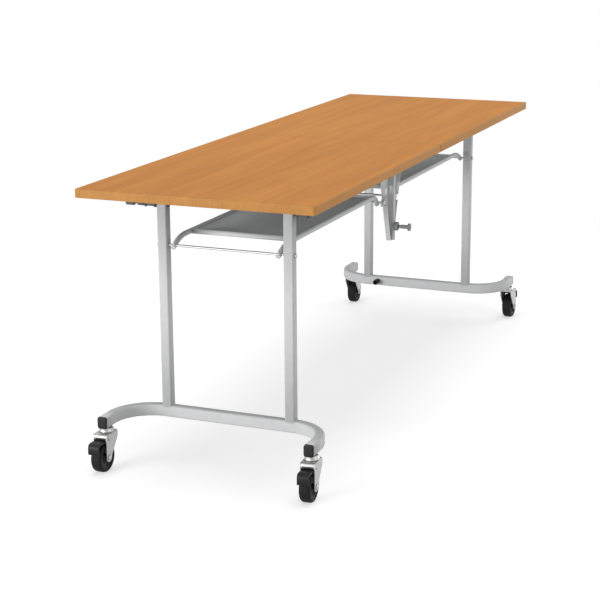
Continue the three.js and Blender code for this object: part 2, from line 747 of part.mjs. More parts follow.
// The arm's outline: two circles and the straight edges that touch both.
function lockArmOutline() {
  const root = new THREE.Vector2(CENTRE_PIVOT_X, SHELF_PIVOT_Z);
  const tip = new THREE.Vector2(0, LOCK_Z);
  const along = Math.atan2(tip.y - root.y, tip.x - root.x);
  const square = Math.acos((LOCK_ARM_ROOT - LOCK_ARM_TIP) / root.distanceTo(tip));
  const shape = new THREE.Shape();
  shape.absarc(root.x, root.y, LOCK_ARM_ROOT, along + square, along - square + 2 * Math.PI);
  shape.absarc(tip.x, tip.y, LOCK_ARM_TIP, along - square, along + square);
  return shape;
}

// A tapered arm with a spacer boss against the shelf tube, bored for the shelf rod and for the plunger.
function lockArm() {
  const inner = LOCK_ARM_OUTER_Y - LOCK_ARM_SHEET;
  const bossEnd = SHELF_TUBE_Y + SHELF_TUBE_RADIUS + FIT_GAP;
  const through = [-LOCK_ARM_OUTER_Y - CUT_PAST, -bossEnd + CUT_PAST];
  return cut(
    join(
      plateY(lockArmOutline(), [-LOCK_ARM_OUTER_Y, -inner]),
      barY(LOCK_ARM_ROOT - EDGE_BREAK, CENTRE_PIVOT_X, [-inner - 1, -bossEnd], SHELF_PIVOT_Z),
    ),
    barY(ROD_RADIUS + FIT_GAP, CENTRE_PIVOT_X, through, SHELF_PIVOT_Z),
    barY(LOCK_PIN_RADIUS + RUNNING_GAP, 0, through, LOCK_Z),
  );
}

function addLock(group) {
  addPiece(group, "lock_housing", lockHousing(), greyPlastic());
  addPiece(group, "lock_plunger", lockPlunger(), zincSteel());
  addPiece(group, "lock_arm", lockArm(), zincSteel());
}

// Casters: a fork with its swivel collar and stem, an axle, a wheel and a brake pedal

// One cheek of the fork in X and Z: broad under the collar, tapering to a round eye at the axle.
function forkCheek() {
  const shape = new THREE.Shape();
  shape.moveTo(FORK_FRONT_X, FORK_TOP);
  shape.lineTo(FORK_REAR_X, FORK_TOP);
  shape.lineTo(FORK_REAR_X, FORK_CHEEK_Z);
  shape.absarc(-TRAIL, WHEEL_RADIUS, FORK_EYE_RADIUS, Math.PI, 2 * Math.PI);
  shape.lineTo(FORK_FRONT_X, FORK_CHEEK_Z);
  shape.closePath();
  shape.holes.push(roundHole(-TRAIL, WHEEL_RADIUS, AXLE_RADIUS + FIT_GAP));
  shape.holes.push(roundHole(PEDAL_PIVOT_X, PEDAL_PIVOT_Z, PEDAL_PIN_RADIUS + RUNNING_GAP));
  return shape;
}

// The swivel collar under the base tube with the stem that stands in it.
function swivelStem() {
  const collarTop = BASE_TOP - BASE_HEIGHT - FIT_GAP;
  const profile = [
    [0, FORK_BRIDGE_BOTTOM],
    [COLLAR_RADIUS, FORK_BRIDGE_BOTTOM],
    [COLLAR_RADIUS, (FORK_TOP + collarTop) / 2],
    [COLLAR_NECK, collarTop],
    [STEM_RADIUS, collarTop],
    [STEM_RADIUS, STEM_TOP - EDGE_BREAK],
    [STEM_RADIUS - EDGE_BREAK, STEM_TOP],
    [0, STEM_TOP],
  ];
  return solidOf(turned(profile, STEM_FACETS).rotateX(Math.PI / 2));
}

function casterFork() {
  const cheek = forkCheek();
  const width = [-FORK_OUTER_Y, FORK_OUTER_Y];
  const bridge = box([FORK_REAR_X, FORK_FRONT_X], width, [FORK_BRIDGE_BOTTOM, FORK_TOP]);
  const apron = box([FORK_REAR_X, FORK_REAR_X + FORK_SHEET], width, [FORK_APRON_BOTTOM, FORK_TOP]);
  const cheeks = SIDES.map((side) => plateY(cheek, spanY(side, FORK_INNER_Y, FORK_OUTER_Y)));
  return join(bridge, apron, ...cheeks, swivelStem());
}

function casterAxle() {
  const reach = FORK_OUTER_Y + FIT_GAP + AXLE_HEAD;
  return nuttedRod(-TRAIL, WHEEL_RADIUS, AXLE_RADIUS, reach, AXLE_HEAD_RADIUS, AXLE_HEAD);
}

// Tyre, rim, web and hub in one turning.
function casterWheel() {
  const bore = AXLE_RADIUS + RUNNING_GAP;
  const side = [
    [bore, -HUB_HALF],
    [HUB_RADIUS, -HUB_HALF],
    [HUB_RADIUS, -WEB_HALF],
    [RIM_INNER, -WEB_HALF],
    [TYRE_INNER, -WHEEL_HALF],
    [WHEEL_RADIUS - TYRE_SHOULDER, -WHEEL_HALF],
    [WHEEL_RADIUS - TYRE_SHOULDER * 0.3, -WHEEL_HALF + TYRE_SHOULDER * 0.3],
    [WHEEL_RADIUS, -WHEEL_HALF + TYRE_SHOULDER],
  ];
  const profile = [...side, ...reversed(side), side[0]];
  return solidOf(turned(profile, WHEEL_FACETS).translate(-TRAIL, 0, WHEEL_RADIUS));
}

// The pedal in X and Z: a flat tread over the wheel with a wall turned down in front of it.
function pedalOutline() {
  const under = PEDAL_TOP - PEDAL_THICKNESS;
  const shape = new THREE.Shape();
  shape.moveTo(PEDAL_INNER_X, PEDAL_TOP);
  shape.lineTo(PEDAL_OUTER_X + PEDAL_NOSE, PEDAL_TOP);
  shape.quadraticCurveTo(PEDAL_OUTER_X, PEDAL_TOP, PEDAL_OUTER_X, PEDAL_TOP - PEDAL_NOSE);
  shape.lineTo(PEDAL_OUTER_X, PEDAL_BOTTOM);
  shape.lineTo(PEDAL_OUTER_X + PEDAL_THICKNESS, PEDAL_BOTTOM);
  shape.lineTo(PEDAL_OUTER_X + PEDAL_THICKNESS, under);
  shape.lineTo(PEDAL_INNER_X, under);
  shape.closePath();
  return shape;
}

function brakePedal() {
  return join(
    plateY(pedalOutline(), [-PEDAL_HALF, PEDAL_HALF]),
    barY(PEDAL_LUG_RADIUS, PEDAL_PIVOT_X, [-PEDAL_HALF, PEDAL_HALF], PEDAL_PIVOT_Z),
    barY(PEDAL_PIN_RADIUS, PEDAL_PIVOT_X, [-FORK_OUTER_Y, FORK_OUTER_Y], PEDAL_PIVOT_Z),
  );
}

function addCaster(group, end, side) {
  const place = `${end.name}_${end.sides[side]}`;
  const caster = new THREE.Group();
  caster.position.set(-CASTER_X, side * BASE_END_Y, 0);
  caster.rotation.z = side < 0 ? PARKED_SWIVEL : 0;
  addPiece(caster, `${place}_caster_fork`, casterFork(), zincSteel());
  addPiece(caster, `${place}_caster_axle`, casterAxle(), zincSteel());
  addPiece(caster, `${place}_caster_wheel`, casterWheel(), blackRubber());
  addPiece(caster, `${place}_brake_pedal`, brakePedal(), blackPlastic());
  group.add(caster);
}

// The whole table

const table = new THREE.Group();
for (const end of [LEFT, RIGHT]) {
  const half = new THREE.Group();
  half.rotation.z = end.turn;
  addHalfTop(half, end);
  addLeg(half, end);
  addShelf(half, end);
  for (const side of SIDES) {
    addCaster(half, end, side);
  }
  table.add(half);
}
addHanger(table);
addLock(table);

export default table;
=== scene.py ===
"""Looks of a centre-folding training table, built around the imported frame.

Smooth parametric pieces stand for the faceted nodes of the frame. Only the two boards and the lock arm
stay as they are there, and get a procedural finish like the rest. Lengths are in metres, +Z is up,
X runs along the table and Y across it. Left is -X and front is -Y.
"""

import json
import logging
import math
from collections.abc import Iterable, Sequence
from dataclasses import dataclass, field
from enum import Enum
from typing import Any

import bpy
import numpy as np
from mathutils import Matrix, Vector


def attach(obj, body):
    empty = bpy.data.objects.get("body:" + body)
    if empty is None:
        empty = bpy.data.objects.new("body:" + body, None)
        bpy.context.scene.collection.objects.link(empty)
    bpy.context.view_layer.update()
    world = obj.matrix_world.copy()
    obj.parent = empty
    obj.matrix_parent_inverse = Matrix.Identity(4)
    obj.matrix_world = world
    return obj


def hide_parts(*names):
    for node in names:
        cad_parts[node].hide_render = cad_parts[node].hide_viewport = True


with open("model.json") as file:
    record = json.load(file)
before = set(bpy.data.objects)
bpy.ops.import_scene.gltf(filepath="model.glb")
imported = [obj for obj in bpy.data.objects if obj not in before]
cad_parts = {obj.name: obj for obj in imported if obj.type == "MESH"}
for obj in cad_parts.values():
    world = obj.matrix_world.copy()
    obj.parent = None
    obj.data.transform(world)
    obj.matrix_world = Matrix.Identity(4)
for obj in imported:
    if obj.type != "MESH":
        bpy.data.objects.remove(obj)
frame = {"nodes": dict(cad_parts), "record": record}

LOG = logging.getLogger("training_table")
MM = 0.001
SIDES = (-1, 1)
UP = np.array([0.0, 0.0, 1.0])
ACROSS = np.array([0.0, 1.0, 0.0])
TIP = 0.3 * MM  # Radius of the small flat in the middle of a turned end

Pair = tuple[float, float]
Triple = tuple[float, float, float]
Profile = list[Pair]


class Slot(Enum):
    """Material slots of the record."""

    LAMINATE = "laminate"
    EDGE_BAND = "edge_band"
    GREY_PAINT = "grey_paint"
    SHELF_PAINT = "shelf_paint"
    ZINC = "zinc"
    BLACK_PAINT = "black_paint"
    BLACK_PLASTIC = "black_plastic"
    BLACK_RUBBER = "black_rubber"
    GREY_PLASTIC = "grey_plastic"


class End(Enum):
    """The two ends of the table. The right end is the left one turned half round about Z."""

    LEFT = "left"
    RIGHT = "right"

    @property
    def sign(self) -> int:
        """+1 where the piece is drawn in place, -1 where it is turned half round."""
        return 1 if self is End.LEFT else -1

    def place(self, points: np.ndarray) -> np.ndarray:
        """Turns points that were drawn for the left end to this end."""
        return points * np.array([self.sign, self.sign, 1.0])

    def side_name(self, side: int) -> str:
        """Front or back, for a piece drawn on that side of the left end."""
        return "front" if side * self.sign < 0 else "back"


# Shaping with arrays


def unit(vectors: np.ndarray) -> np.ndarray:
    """The same directions with length one."""
    return vectors / np.linalg.norm(vectors, axis=-1, keepdims=True)


def circle(radius: float, steps: int = 24) -> np.ndarray:
    """Points on a circle, anticlockwise, shape (steps, 2)."""
    angle = np.arange(steps) * 2 * math.pi / steps
    return radius * np.stack([np.cos(angle), np.sin(angle)], axis=1)


def arc(radius: float, start: float, end: float, steps: int) -> np.ndarray:
    """Points on part of a circle between two angles, shape (steps + 1, 2)."""
    angle = np.linspace(start, end, steps + 1)
    return radius * np.stack([np.cos(angle), np.sin(angle)], axis=1)


def quadratic(start: Triple, control: Triple, end: Triple, steps: int) -> np.ndarray:
    """Points (1-t)^2 * start + 2t(1-t) * control + t^2 * end, shape (steps + 1, 3)."""
    t = np.linspace(0, 1, steps + 1)[:, None]
    return (1 - t) ** 2 * np.array(start) + 2 * t * (1 - t) * np.array(control) + t**2 * np.array(end)


def rounded_rectangle(width: float, height: float, radius: float, steps: int = 6) -> np.ndarray:
    """Outline of a rectangle with round corners.

    Each corner is a quarter circle about a point set in from the corner by the radius.

    Args:
        width: Size along the first coordinate.
        height: Size along the second coordinate.
        radius: Corner radius.
        steps: Segments in each corner.

    Returns:
        Points of the outline, anticlockwise, shape (4 * (steps + 1), 2).
    """
    quarter = np.linspace(0, math.pi / 2, steps + 1)
    angle = np.repeat(np.arange(4) * math.pi / 2, steps + 1) + np.tile(quarter, 4)
    centre = np.array([[1, 1], [-1, 1], [-1, -1], [1, -1]]) * (np.array([width, height]) / 2 - radius)
    return np.repeat(centre, steps + 1, axis=0) + radius * np.stack([np.cos(angle), np.sin(angle)], axis=1)


def set_in(outline: np.ndarray, distance: float) -> np.ndarray:
    """Anticlockwise closed outline moved inwards along its own normals."""
    along = unit(np.roll(outline, -1, axis=0) - np.roll(outline, 1, axis=0))
    return outline + distance * np.stack([-along[:, 1], along[:, 0]], axis=1)


def stacked(rings: Sequence[np.ndarray], levels: Iterable[float]) -> np.ndarray:
    """Flat rings, each lifted to its own level.

    A point is (a(u, v), b(u, v), level(v)), where (a, b) runs round ring v.

    Args:
        rings: Outlines with the same number of points, each of shape (U, 2).
        levels: One level for each ring.

    Returns:
        Grid of points, shape (U, V, 3).
    """
    outline = np.stack(rings, axis=1)
    lifted = np.broadcast_to(np.array(list(levels)), outline.shape[:2])
    return np.concatenate([outline, lifted[..., None]], axis=-1)


def slab(outline: np.ndarray, low: float, high: float, edge: float) -> np.ndarray:
    """Outline in X and Z made a plate along Y with broken edges.

    The rings are the outline set in by the edge at both faces and the outline itself one edge further in.

    Args:
        outline: Anticlockwise outline, shape (U, 2).
        low: Lower limit of Y.
        high: Upper limit of Y.
        edge: Width of the broken edges.

    Returns:
        Grid of points, shape (U, 4, 3).
    """
    rings = [set_in(outline, distance) for distance in (edge, 0.0, 0.0, edge)]
    return stacked(rings, (low, low + edge, high - edge, high))[..., [0, 2, 1]]


def pierced(outline: np.ndarray, centre: np.ndarray, bore: float, span: Pair, edge: float) -> np.ndarray:
    """Plate along Y with broken edges and one round hole.

    Each point of the hole lies on its circle in the direction of the outline's point: c + r * unit(p - c).

    Args:
        outline: Anticlockwise outline in X and Z.
        centre: Centre of the hole in X and Z.
        bore: Radius of the hole.
        span: Lower and upper limit of Y.
        edge: Width of the broken edges.

    Returns:
        Grid of points that closes in both directions, shape (U, 6, 3).
    """
    low, high = span
    hole = centre + bore * unit(outline - centre)
    inner = set_in(outline, edge)
    rings = [hole, inner, outline, outline, inner, hole]
    return stacked(rings, (low, low, low + edge, high - edge, high, high))[..., [0, 2, 1]]


def sweep(section: np.ndarray, path: np.ndarray, across: np.ndarray, closed: bool = False) -> np.ndarray:
    """Section carried along a flat path.

    A point is path(v) + a(u) * normal(v) + b(u) * across, where (a, b) is the section's outline,
    across is square to the path's plane and normal(v) is across x tangent(v).

    Args:
        section: Outline, shape (U, 2).
        path: Points of the path, shape (V, 3).
        across: Unit vector square to the path's plane.
        closed: True where the path joins its own start.

    Returns:
        Grid of points, shape (U, V, 3).
    """
    if closed:
        steps = np.roll(path, -1, axis=0) - path
        before = np.roll(steps, 1, axis=0)
    else:
        steps = np.diff(path, axis=0)
        before = np.vstack([steps[:1], steps])
        steps = np.vstack([steps, steps[-1:]])
    normal = np.cross(across, unit(unit(steps) + unit(before)))
    return path[None] + section[:, None, 0, None] * normal[None] + section[:, None, 1, None] * across


def mirrored(half: Profile) -> Profile:
    """Half a profile followed by its mirror image about height zero."""
    return half + [(radius, -height) for radius, height in reversed(half)]


def softened(profile: Profile, radius: float, steps: int = 3) -> Profile:
    """Profile with each inner corner replaced by a quadratic curve.

    The curve runs (1-t)^2 * a + 2t(1-t) * corner + t^2 * b, where a and b lie on the two edges,
    the given radius from the corner, or a third of the edge where that is shorter.

    Args:
        profile: Corners, from the first end to the last.
        radius: Distance from each corner at which its curve starts.
        steps: Segments in each curve.

    Returns:
        The softened profile.
    """
    points = np.array(profile, dtype=float)
    corner = points[1:-1]
    to_last, to_next = points[:-2] - corner, points[2:] - corner
    last_length = np.linalg.norm(to_last, axis=1, keepdims=True)
    next_length = np.linalg.norm(to_next, axis=1, keepdims=True)
    start = corner + to_last / last_length * np.minimum(radius, last_length / 3)
    end = corner + to_next / next_length * np.minimum(radius, next_length / 3)
    t = np.linspace(0, 1, steps + 1)[None, :, None]
    curve = (1 - t) ** 2 * start[:, None] + 2 * t * (1 - t) * corner[:, None] + t**2 * end[:, None]
    return [tuple(p) for p in np.vstack([points[:1], curve.reshape(-1, 2), points[-1:]])]


def revolve(profile: Profile, steps: int = 40) -> np.ndarray:
    """Profile turned about Y.

    A point is (r(v) * cos(u), h(v), r(v) * sin(u)) for a profile of radius r and height h.

    Args:
        profile: Pairs of radius and height.
        steps: Segments around the axis.

    Returns:
        Grid of points, shape (steps, len(profile), 3).
    """
    radius, height = np.array(profile, dtype=float).T
    angle = np.arange(steps)[:, None] * 2 * math.pi / steps
    level = np.broadcast_to(height, (steps, len(height)))
    return np.stack([radius * np.cos(angle), level, radius * np.sin(angle)], axis=-1)


def turned(profile: Profile, soft: float, steps: int = 40) -> np.ndarray:
    """Profile with its corners softened, turned about Y."""
    return revolve(softened(profile, soft), steps)


def nutted_rod(radius: float, reach: float, nut_radius: float, nut: float) -> np.ndarray:
    """Rod turned about Y with a domed nut at each end.

    The profile climbs from the end's flat over a slope of a third of the nut to its full radius.

    Args:
        radius: Radius of the rod.
        reach: Distance from the middle to either end.
        nut_radius: Radius of the nuts.
        nut: Length of the nuts.

    Returns:
        Grid of points about the origin.
    """
    tip, crown, slope = 0.2 * MM, 0.6 * nut_radius, 0.35 * nut
    half = [
        (tip, -reach),
        (crown, -reach),
        (nut_radius, -reach + slope),
        (nut_radius, -reach + nut),
        (radius, -reach + nut),
    ]
    return turned(mirrored(half), soft=0.6 * MM, steps=28)


def windowed_sheet(
    x: np.ndarray, z: np.ndarray, kept: np.ndarray, span: Pair
) -> tuple[np.ndarray, np.ndarray]:
    """Flat sheet of cells between grid lines in X and Z, with some cells left open.

    Every kept cell has a face at both limits of Y. A wall stands on each grid line where a kept cell
    meets an open one or the outside.

    Args:
        x: Places of the grid lines' crossings along X, shape (I, J).
        z: Places of the crossings along Z, shape (I, J).
        kept: True for each cell that is there, shape (I - 1, J - 1).
        span: Lower and upper limit of Y.

    Returns:
        Points, and four indices for each face.
    """
    low, high = np.arange(2 * x.size).reshape(2, *x.shape)
    points = np.vstack([np.stack([x, np.full_like(x, y), z], axis=-1).reshape(-1, 3) for y in span])
    cells = [np.stack([a[:-1, :-1], a[1:, :-1], a[1:, 1:], a[:-1, 1:]], axis=-1)[kept] for a in (low, high)]
    upright = np.stack([low[:, :-1], high[:, :-1], high[:, 1:], low[:, 1:]], axis=-1)
    level = np.stack([low[:-1], low[1:], high[1:], high[:-1]], axis=-1)
    padded = np.pad(kept.astype(int), 1)
    step_x, step_z = -np.diff(padded, axis=0)[:, 1:-1], -np.diff(padded, axis=1)[1:-1]
    walls = [upright[step_x > 0], upright[step_x < 0][:, ::-1], level[step_z > 0], level[step_z < 0][:, ::-1]]
    return points, np.vstack([cells[0], cells[1][:, ::-1], *walls])


def signed_volume(points: np.ndarray, quads: np.ndarray, rings: list[np.ndarray]) -> float:
    """Six times the volume inside a closed set of faces.

    Each face adds a * (b x c) for every triangle (a, b, c) of the fan from its first corner.

    Args:
        points: Places, shape (N, 3).
        quads: Four indices for each face.
        rings: Indices of each larger face.

    Returns:
        The sum, negative where the faces look inward.
    """
    centred = points - points.mean(axis=0)
    corner = centred[quads]
    total = np.einsum("ij,ij->", corner[:, 0], np.cross(corner[:, 1], corner[:, 2]))
    total += np.einsum("ij,ij->", corner[:, 0], np.cross(corner[:, 2], corner[:, 3]))
    for ring in rings:
        rim = centred[ring]
        total += np.einsum("j,ij->", rim[0], np.cross(rim[1:-1], rim[2:]))
    return float(total)


@dataclass
class MeshBuilder:
    """Gathers grids of points into one mesh with its faces outward."""

    vertices: list[np.ndarray] = field(default_factory=list)
    loops: list[np.ndarray] = field(default_factory=list)
    totals: list[np.ndarray] = field(default_factory=list)
    smooth: list[np.ndarray] = field(default_factory=list)
    count: int = 0

    def add(self, grid: np.ndarray, closed_v: bool = False, smooth: bool = True) -> "MeshBuilder":
        """Adds a grid that closes on itself in its first direction.

        Args:
            grid: Points, shape (U, V, 3).
            closed_v: True where the second direction closes too. The end rings are filled where it doesn't.
            smooth: True where the surface is curved, and False where it is made of flat faces.

        Returns:
            The builder itself.
        """
        rows, columns = grid.shape[:2]
        index = np.arange(rows * columns).reshape(rows, columns)
        across = np.roll(index, -1, axis=0)
        if closed_v:
            here, there = index, across
            here_next, there_next = np.roll(index, -1, axis=1), np.roll(across, -1, axis=1)
        else:
            here, there = index[:, :-1], across[:, :-1]
            here_next, there_next = index[:, 1:], across[:, 1:]
        quads = np.stack([here, there, there_next, here_next], axis=-1).reshape(-1, 4)
        rings = [] if closed_v else [index[::-1, 0], index[:, -1]]
        return self.gather(grid.reshape(-1, 3), quads, rings, smooth)

    def gather(
        self, points: np.ndarray, quads: np.ndarray, rings: list[np.ndarray], smooth: bool
    ) -> "MeshBuilder":
        """Adds a closed set of faces, turned round if they face inward.

        Args:
            points: Places, shape (N, 3).
            quads: Four indices for each face.
            rings: Indices of each larger face.
            smooth: True to shade the four-sided faces as one curved surface.

        Returns:
            The builder itself.
        """
        if signed_volume(points, quads, rings) < 0:
            quads = quads[:, ::-1]
            rings = [ring[::-1] for ring in rings]
        self.vertices.append(points)
        self.loops.append(np.concatenate([quads.ravel(), *rings]) + self.count)
        self.totals.append(np.array([4] * len(quads) + [len(ring) for ring in rings]))
        self.smooth.append(np.array([smooth] * len(quads) + [False] * len(rings)))
        self.count += len(points)
        return self

    def build(self, name: str) -> bpy.types.Object:
        """Makes the mesh object and links it to the scene.

        Args:
            name: Name of the piece.

        Returns:
            The object, at the origin.
        """
        points = np.vstack(self.vertices)
        loops = np.concatenate(self.loops)
        totals = np.concatenate(self.totals)
        starts = np.concatenate([[0], np.cumsum(totals)[:-1]])
        mesh = bpy.data.meshes.new(name)
        mesh.vertices.add(len(points))
        mesh.vertices.foreach_set("co", points.astype(np.float32).ravel())
        mesh.loops.add(len(loops))
        mesh.loops.foreach_set("vertex_index", loops.astype(np.int32))
        mesh.polygons.add(len(totals))
        mesh.polygons.foreach_set("loop_start", starts.astype(np.int32))
        mesh.polygons.foreach_set("use_smooth", np.concatenate(self.smooth))
        mesh.update(calc_edges=True)
        mesh.validate()
        piece = bpy.data.objects.new(name, mesh)
        bpy.context.scene.collection.objects.link(piece)
        return piece


def one_piece(name: str, grid: np.ndarray, closed_v: bool = False) -> bpy.types.Object:
    """A piece made of one grid."""
    return MeshBuilder().add(grid, closed_v).build(name)


# Finishes


@dataclass(frozen=True)
class NodeSet:
    """The shader nodes of a material or of the surroundings, with short ways to add and join them."""

    tree: bpy.types.NodeTree

    def add(self, kind: str, inputs: dict[str | int, Any], **settings: Any) -> bpy.types.Node:
        """Adds a node.

        Args:
            kind: The node's type, without its prefix.
            inputs: For each input, the output that is joined to it or else its fixed value.
            settings: Other properties of the node, set before its inputs.

        Returns:
            The node.
        """
        node = self.tree.nodes.new(f"ShaderNode{kind}")
        for name, value in settings.items():
            setattr(node, name, value)
        self.feed(node, inputs)
        return node

    def feed(self, node: bpy.types.Node, inputs: dict[str | int, Any]) -> None:
        """Joins a node's inputs to outputs or gives them fixed values.

        Args:
            node: The node.
            inputs: For each input, the output that is joined to it or else its fixed value.
        """
        for name, value in inputs.items():
            if isinstance(value, bpy.types.NodeSocket):
                self.tree.links.new(value, node.inputs[name])
            else:
                node.inputs[name].default_value = value

    def coordinates(self, kind: str = "Object") -> bpy.types.NodeSocket:
        """One kind of texture coordinates."""
        return self.add("TexCoord", {}).outputs[kind]

    def noise(
        self, place: bpy.types.NodeSocket, scale: float, detail: float, swirl: float = 0.0
    ) -> bpy.types.NodeSocket:
        """A noise value over the given coordinates."""
        inputs = {"Vector": place, "Scale": scale, "Detail": detail, "Distortion": swirl}
        return self.add("TexNoise", inputs).outputs["Fac"]

    def ramp(
        self, share: bpy.types.NodeSocket, span: Pair, low: Iterable[float], high: Iterable[float]
    ) -> bpy.types.NodeSocket:
        """Colour that runs from one to another while a share crosses a span.

        Args:
            share: The share.
            span: Where the run starts and ends.
            low: Colour below the span.
            high: Colour above the span.

        Returns:
            The colour.
        """
        node = self.add("ValToRGB", {"Fac": share})
        for element, position, colour in zip(node.color_ramp.elements, span, (low, high)):
            element.position = position
            element.color = (*colour, 1)
        return node.outputs["Color"]

    def glow(self, strength: float) -> bpy.types.NodeSocket:
        """A white emission of the given strength."""
        return self.add("Emission", {"Color": (1, 1, 1, 1), "Strength": strength}).outputs["Emission"]

    def mixed(
        self, share: bpy.types.NodeSocket, first: bpy.types.NodeSocket, second: bpy.types.NodeSocket
    ) -> bpy.types.NodeSocket:
        """A mix of two shaders, all of the second one where the share is one."""
        return self.add("MixShader", {"Fac": share, 1: first, 2: second}).outputs["Shader"]

    def looked_at(self) -> bpy.types.NodeSocket:
        """Tells what is looked at from light that falls on the table.

        Returns:
            One for camera, glossy and transmission rays, and zero for all others.
        """
        paths = self.add("LightPath", {})
        total = paths.outputs["Is Camera Ray"]
        for name in ("Is Glossy Ray", "Is Transmission Ray"):
            total = self.add("Math", {0: total, 1: paths.outputs[name]}, operation="MAXIMUM").outputs["Value"]
        return total


@dataclass(frozen=True)
class Finish:
    """A procedural finish on object coordinates, with mottled colour, varied roughness and a fine relief."""

    slot: Slot
    colour: Triple
    roughness: float
    metallic: float = 0.0
    mottle: float = 0.06
    mottle_scale: float = 60.0
    mottle_detail: float = 4.0
    mottle_span: Pair = (0.3, 0.7)
    rough_drift: float = 0.12
    rough_detail: float = 3.0
    relief_scale: float = 900.0
    relief_detail: float = 2.0
    relief_depth: float = 0.02 * MM
    relief_strength: float = 0.5
    specular: float = 0.5

    def build(self) -> bpy.types.Material:
        """Makes the material.

        Returns:
            The material, named for its slot.
        """
        material = bpy.data.materials.new(self.slot.value)
        material.use_nodes = True
        nodes = NodeSet(material.node_tree)
        place = nodes.coordinates()
        rough_low, rough_high = (self.roughness * (1 + sign * self.rough_drift) for sign in SIDES)
        mottling = nodes.noise(place, self.mottle_scale, self.rough_detail)
        rough = nodes.add("MapRange", {"Value": mottling, "To Min": rough_low, "To Max": rough_high})
        relief = nodes.noise(place, self.relief_scale, self.relief_detail)
        bump = nodes.add(
            "Bump", {"Height": relief, "Strength": self.relief_strength, "Distance": self.relief_depth}
        )
        shader = {
            "Base Color": self.colour_output(nodes, place),
            "Metallic": self.metallic,
            "Specular IOR Level": self.specular,
            "Roughness": rough.outputs["Result"],
            "Normal": bump.outputs["Normal"],
        }
        nodes.feed(material.node_tree.nodes["Principled BSDF"], shader)
        return material

    def colour_output(self, nodes: NodeSet, place: bpy.types.NodeSocket) -> bpy.types.NodeSocket:
        """Colour that drifts a little to both sides of the finish's own.

        Args:
            nodes: The material's nodes.
            place: Coordinates of the pattern.

        Returns:
            The colour.
        """
        drift = nodes.noise(place, self.mottle_scale, self.mottle_detail)
        low, high = ([c * (1 + sign * self.mottle) for c in self.colour] for sign in SIDES)
        return nodes.ramp(drift, self.mottle_span, low, high)


@dataclass(frozen=True)
class WoodPrint(Finish):
    """Wood-print laminate: broad figure and fine pores, both stretched along the table."""

    figure_scale: Triple = (0.9, 13.0, 13.0)
    figure: float = 0.10
    figure_tint: Triple = (1.0, 1.3, 1.5)
    figure_span: Pair = (0.34, 0.66)
    figure_detail: float = 5.0
    figure_swirl: float = 1.1
    pore_scale: Triple = (5.0, 240.0, 60.0)
    pores: float = 0.10
    pore_span: Pair = (0.35, 0.6)
    pore_detail: float = 3.0
    backing: Triple = (0.42, 0.42, 0.41)
    facing_down: float = -0.9

    def colour_output(self, nodes: NodeSet, place: bpy.types.NodeSocket) -> bpy.types.NodeSocket:
        """Colour of the print: the figure's ramp, darkened along the pores.

        The underside is plain grey backing.

        Args:
            nodes: The material's nodes.
            place: Coordinates of the pattern.

        Returns:
            The colour.
        """
        grain = self.stretched(nodes, place, self.figure_scale)
        figure = nodes.noise(grain, 1.0, self.figure_detail, self.figure_swirl)
        low = [c * (1 - tint * self.figure) for c, tint in zip(self.colour, self.figure_tint)]
        high = [c * (1 + self.figure) for c in self.colour]
        figured = nodes.ramp(figure, self.figure_span, low, high)
        pore = nodes.noise(self.stretched(nodes, place, self.pore_scale), 1.0, self.pore_detail)
        start, end = self.pore_span
        span = {"From Min": start, "From Max": end, "To Min": 1 - self.pores, "To Max": 1.0}
        dark = nodes.add("MapRange", {"Value": pore, **span}).outputs["Result"]
        grained = nodes.add("VectorMath", {0: figured, "Scale": dark}, operation="SCALE").outputs["Vector"]
        facing = nodes.add("SeparateXYZ", {"Vector": nodes.coordinates("Normal")}).outputs["Z"]
        under = nodes.add("Math", {0: facing, 1: self.facing_down}, operation="LESS_THAN").outputs["Value"]
        sides = {"Factor": under, "A": grained, "B": (*self.backing, 1)}
        return nodes.add("Mix", sides, data_type="RGBA").outputs["Result"]

    @staticmethod
    def stretched(nodes: NodeSet, place: bpy.types.NodeSocket, scale: Triple) -> bpy.types.NodeSocket:
        """Coordinates with their own scale along each axis."""
        return nodes.add("Mapping", {"Vector": place, "Scale": scale}).outputs["Vector"]


FINISHES = (
    WoodPrint(Slot.LAMINATE, (0.535, 0.214, 0.037), roughness=0.58, relief_scale=400.0, specular=0.1),
    WoodPrint(
        Slot.EDGE_BAND, (0.49, 0.232, 0.068), roughness=0.52, relief_scale=400.0, figure=0.06, specular=0.08
    ),
    Finish(Slot.GREY_PAINT, (0.56, 0.565, 0.57), roughness=0.58, mottle=0.03, specular=0.2),
    Finish(Slot.SHELF_PAINT, (0.49, 0.50, 0.51), roughness=0.45, metallic=0.05, mottle=0.04),
    Finish(Slot.BLACK_PAINT, (0.085, 0.085, 0.088), roughness=0.50, mottle=0.1, specular=0.3),
    Finish(Slot.ZINC, (0.44, 0.44, 0.435), roughness=0.44, metallic=1.0, mottle=0.10, mottle_scale=140.0),
    Finish(
        Slot.BLACK_PLASTIC,
        (0.007, 0.007, 0.008),
        roughness=0.50,
        mottle=0.15,
        relief_scale=1600.0,
        specular=0.25,
    ),
    Finish(
        Slot.BLACK_RUBBER,
        (0.005, 0.005, 0.005),
        roughness=0.66,
        mottle=0.2,
        relief_scale=1200.0,
        specular=0.2,
    ),
    Finish(Slot.GREY_PLASTIC, (0.23, 0.235, 0.24), roughness=0.50, mottle=0.08, specular=0.3),
)


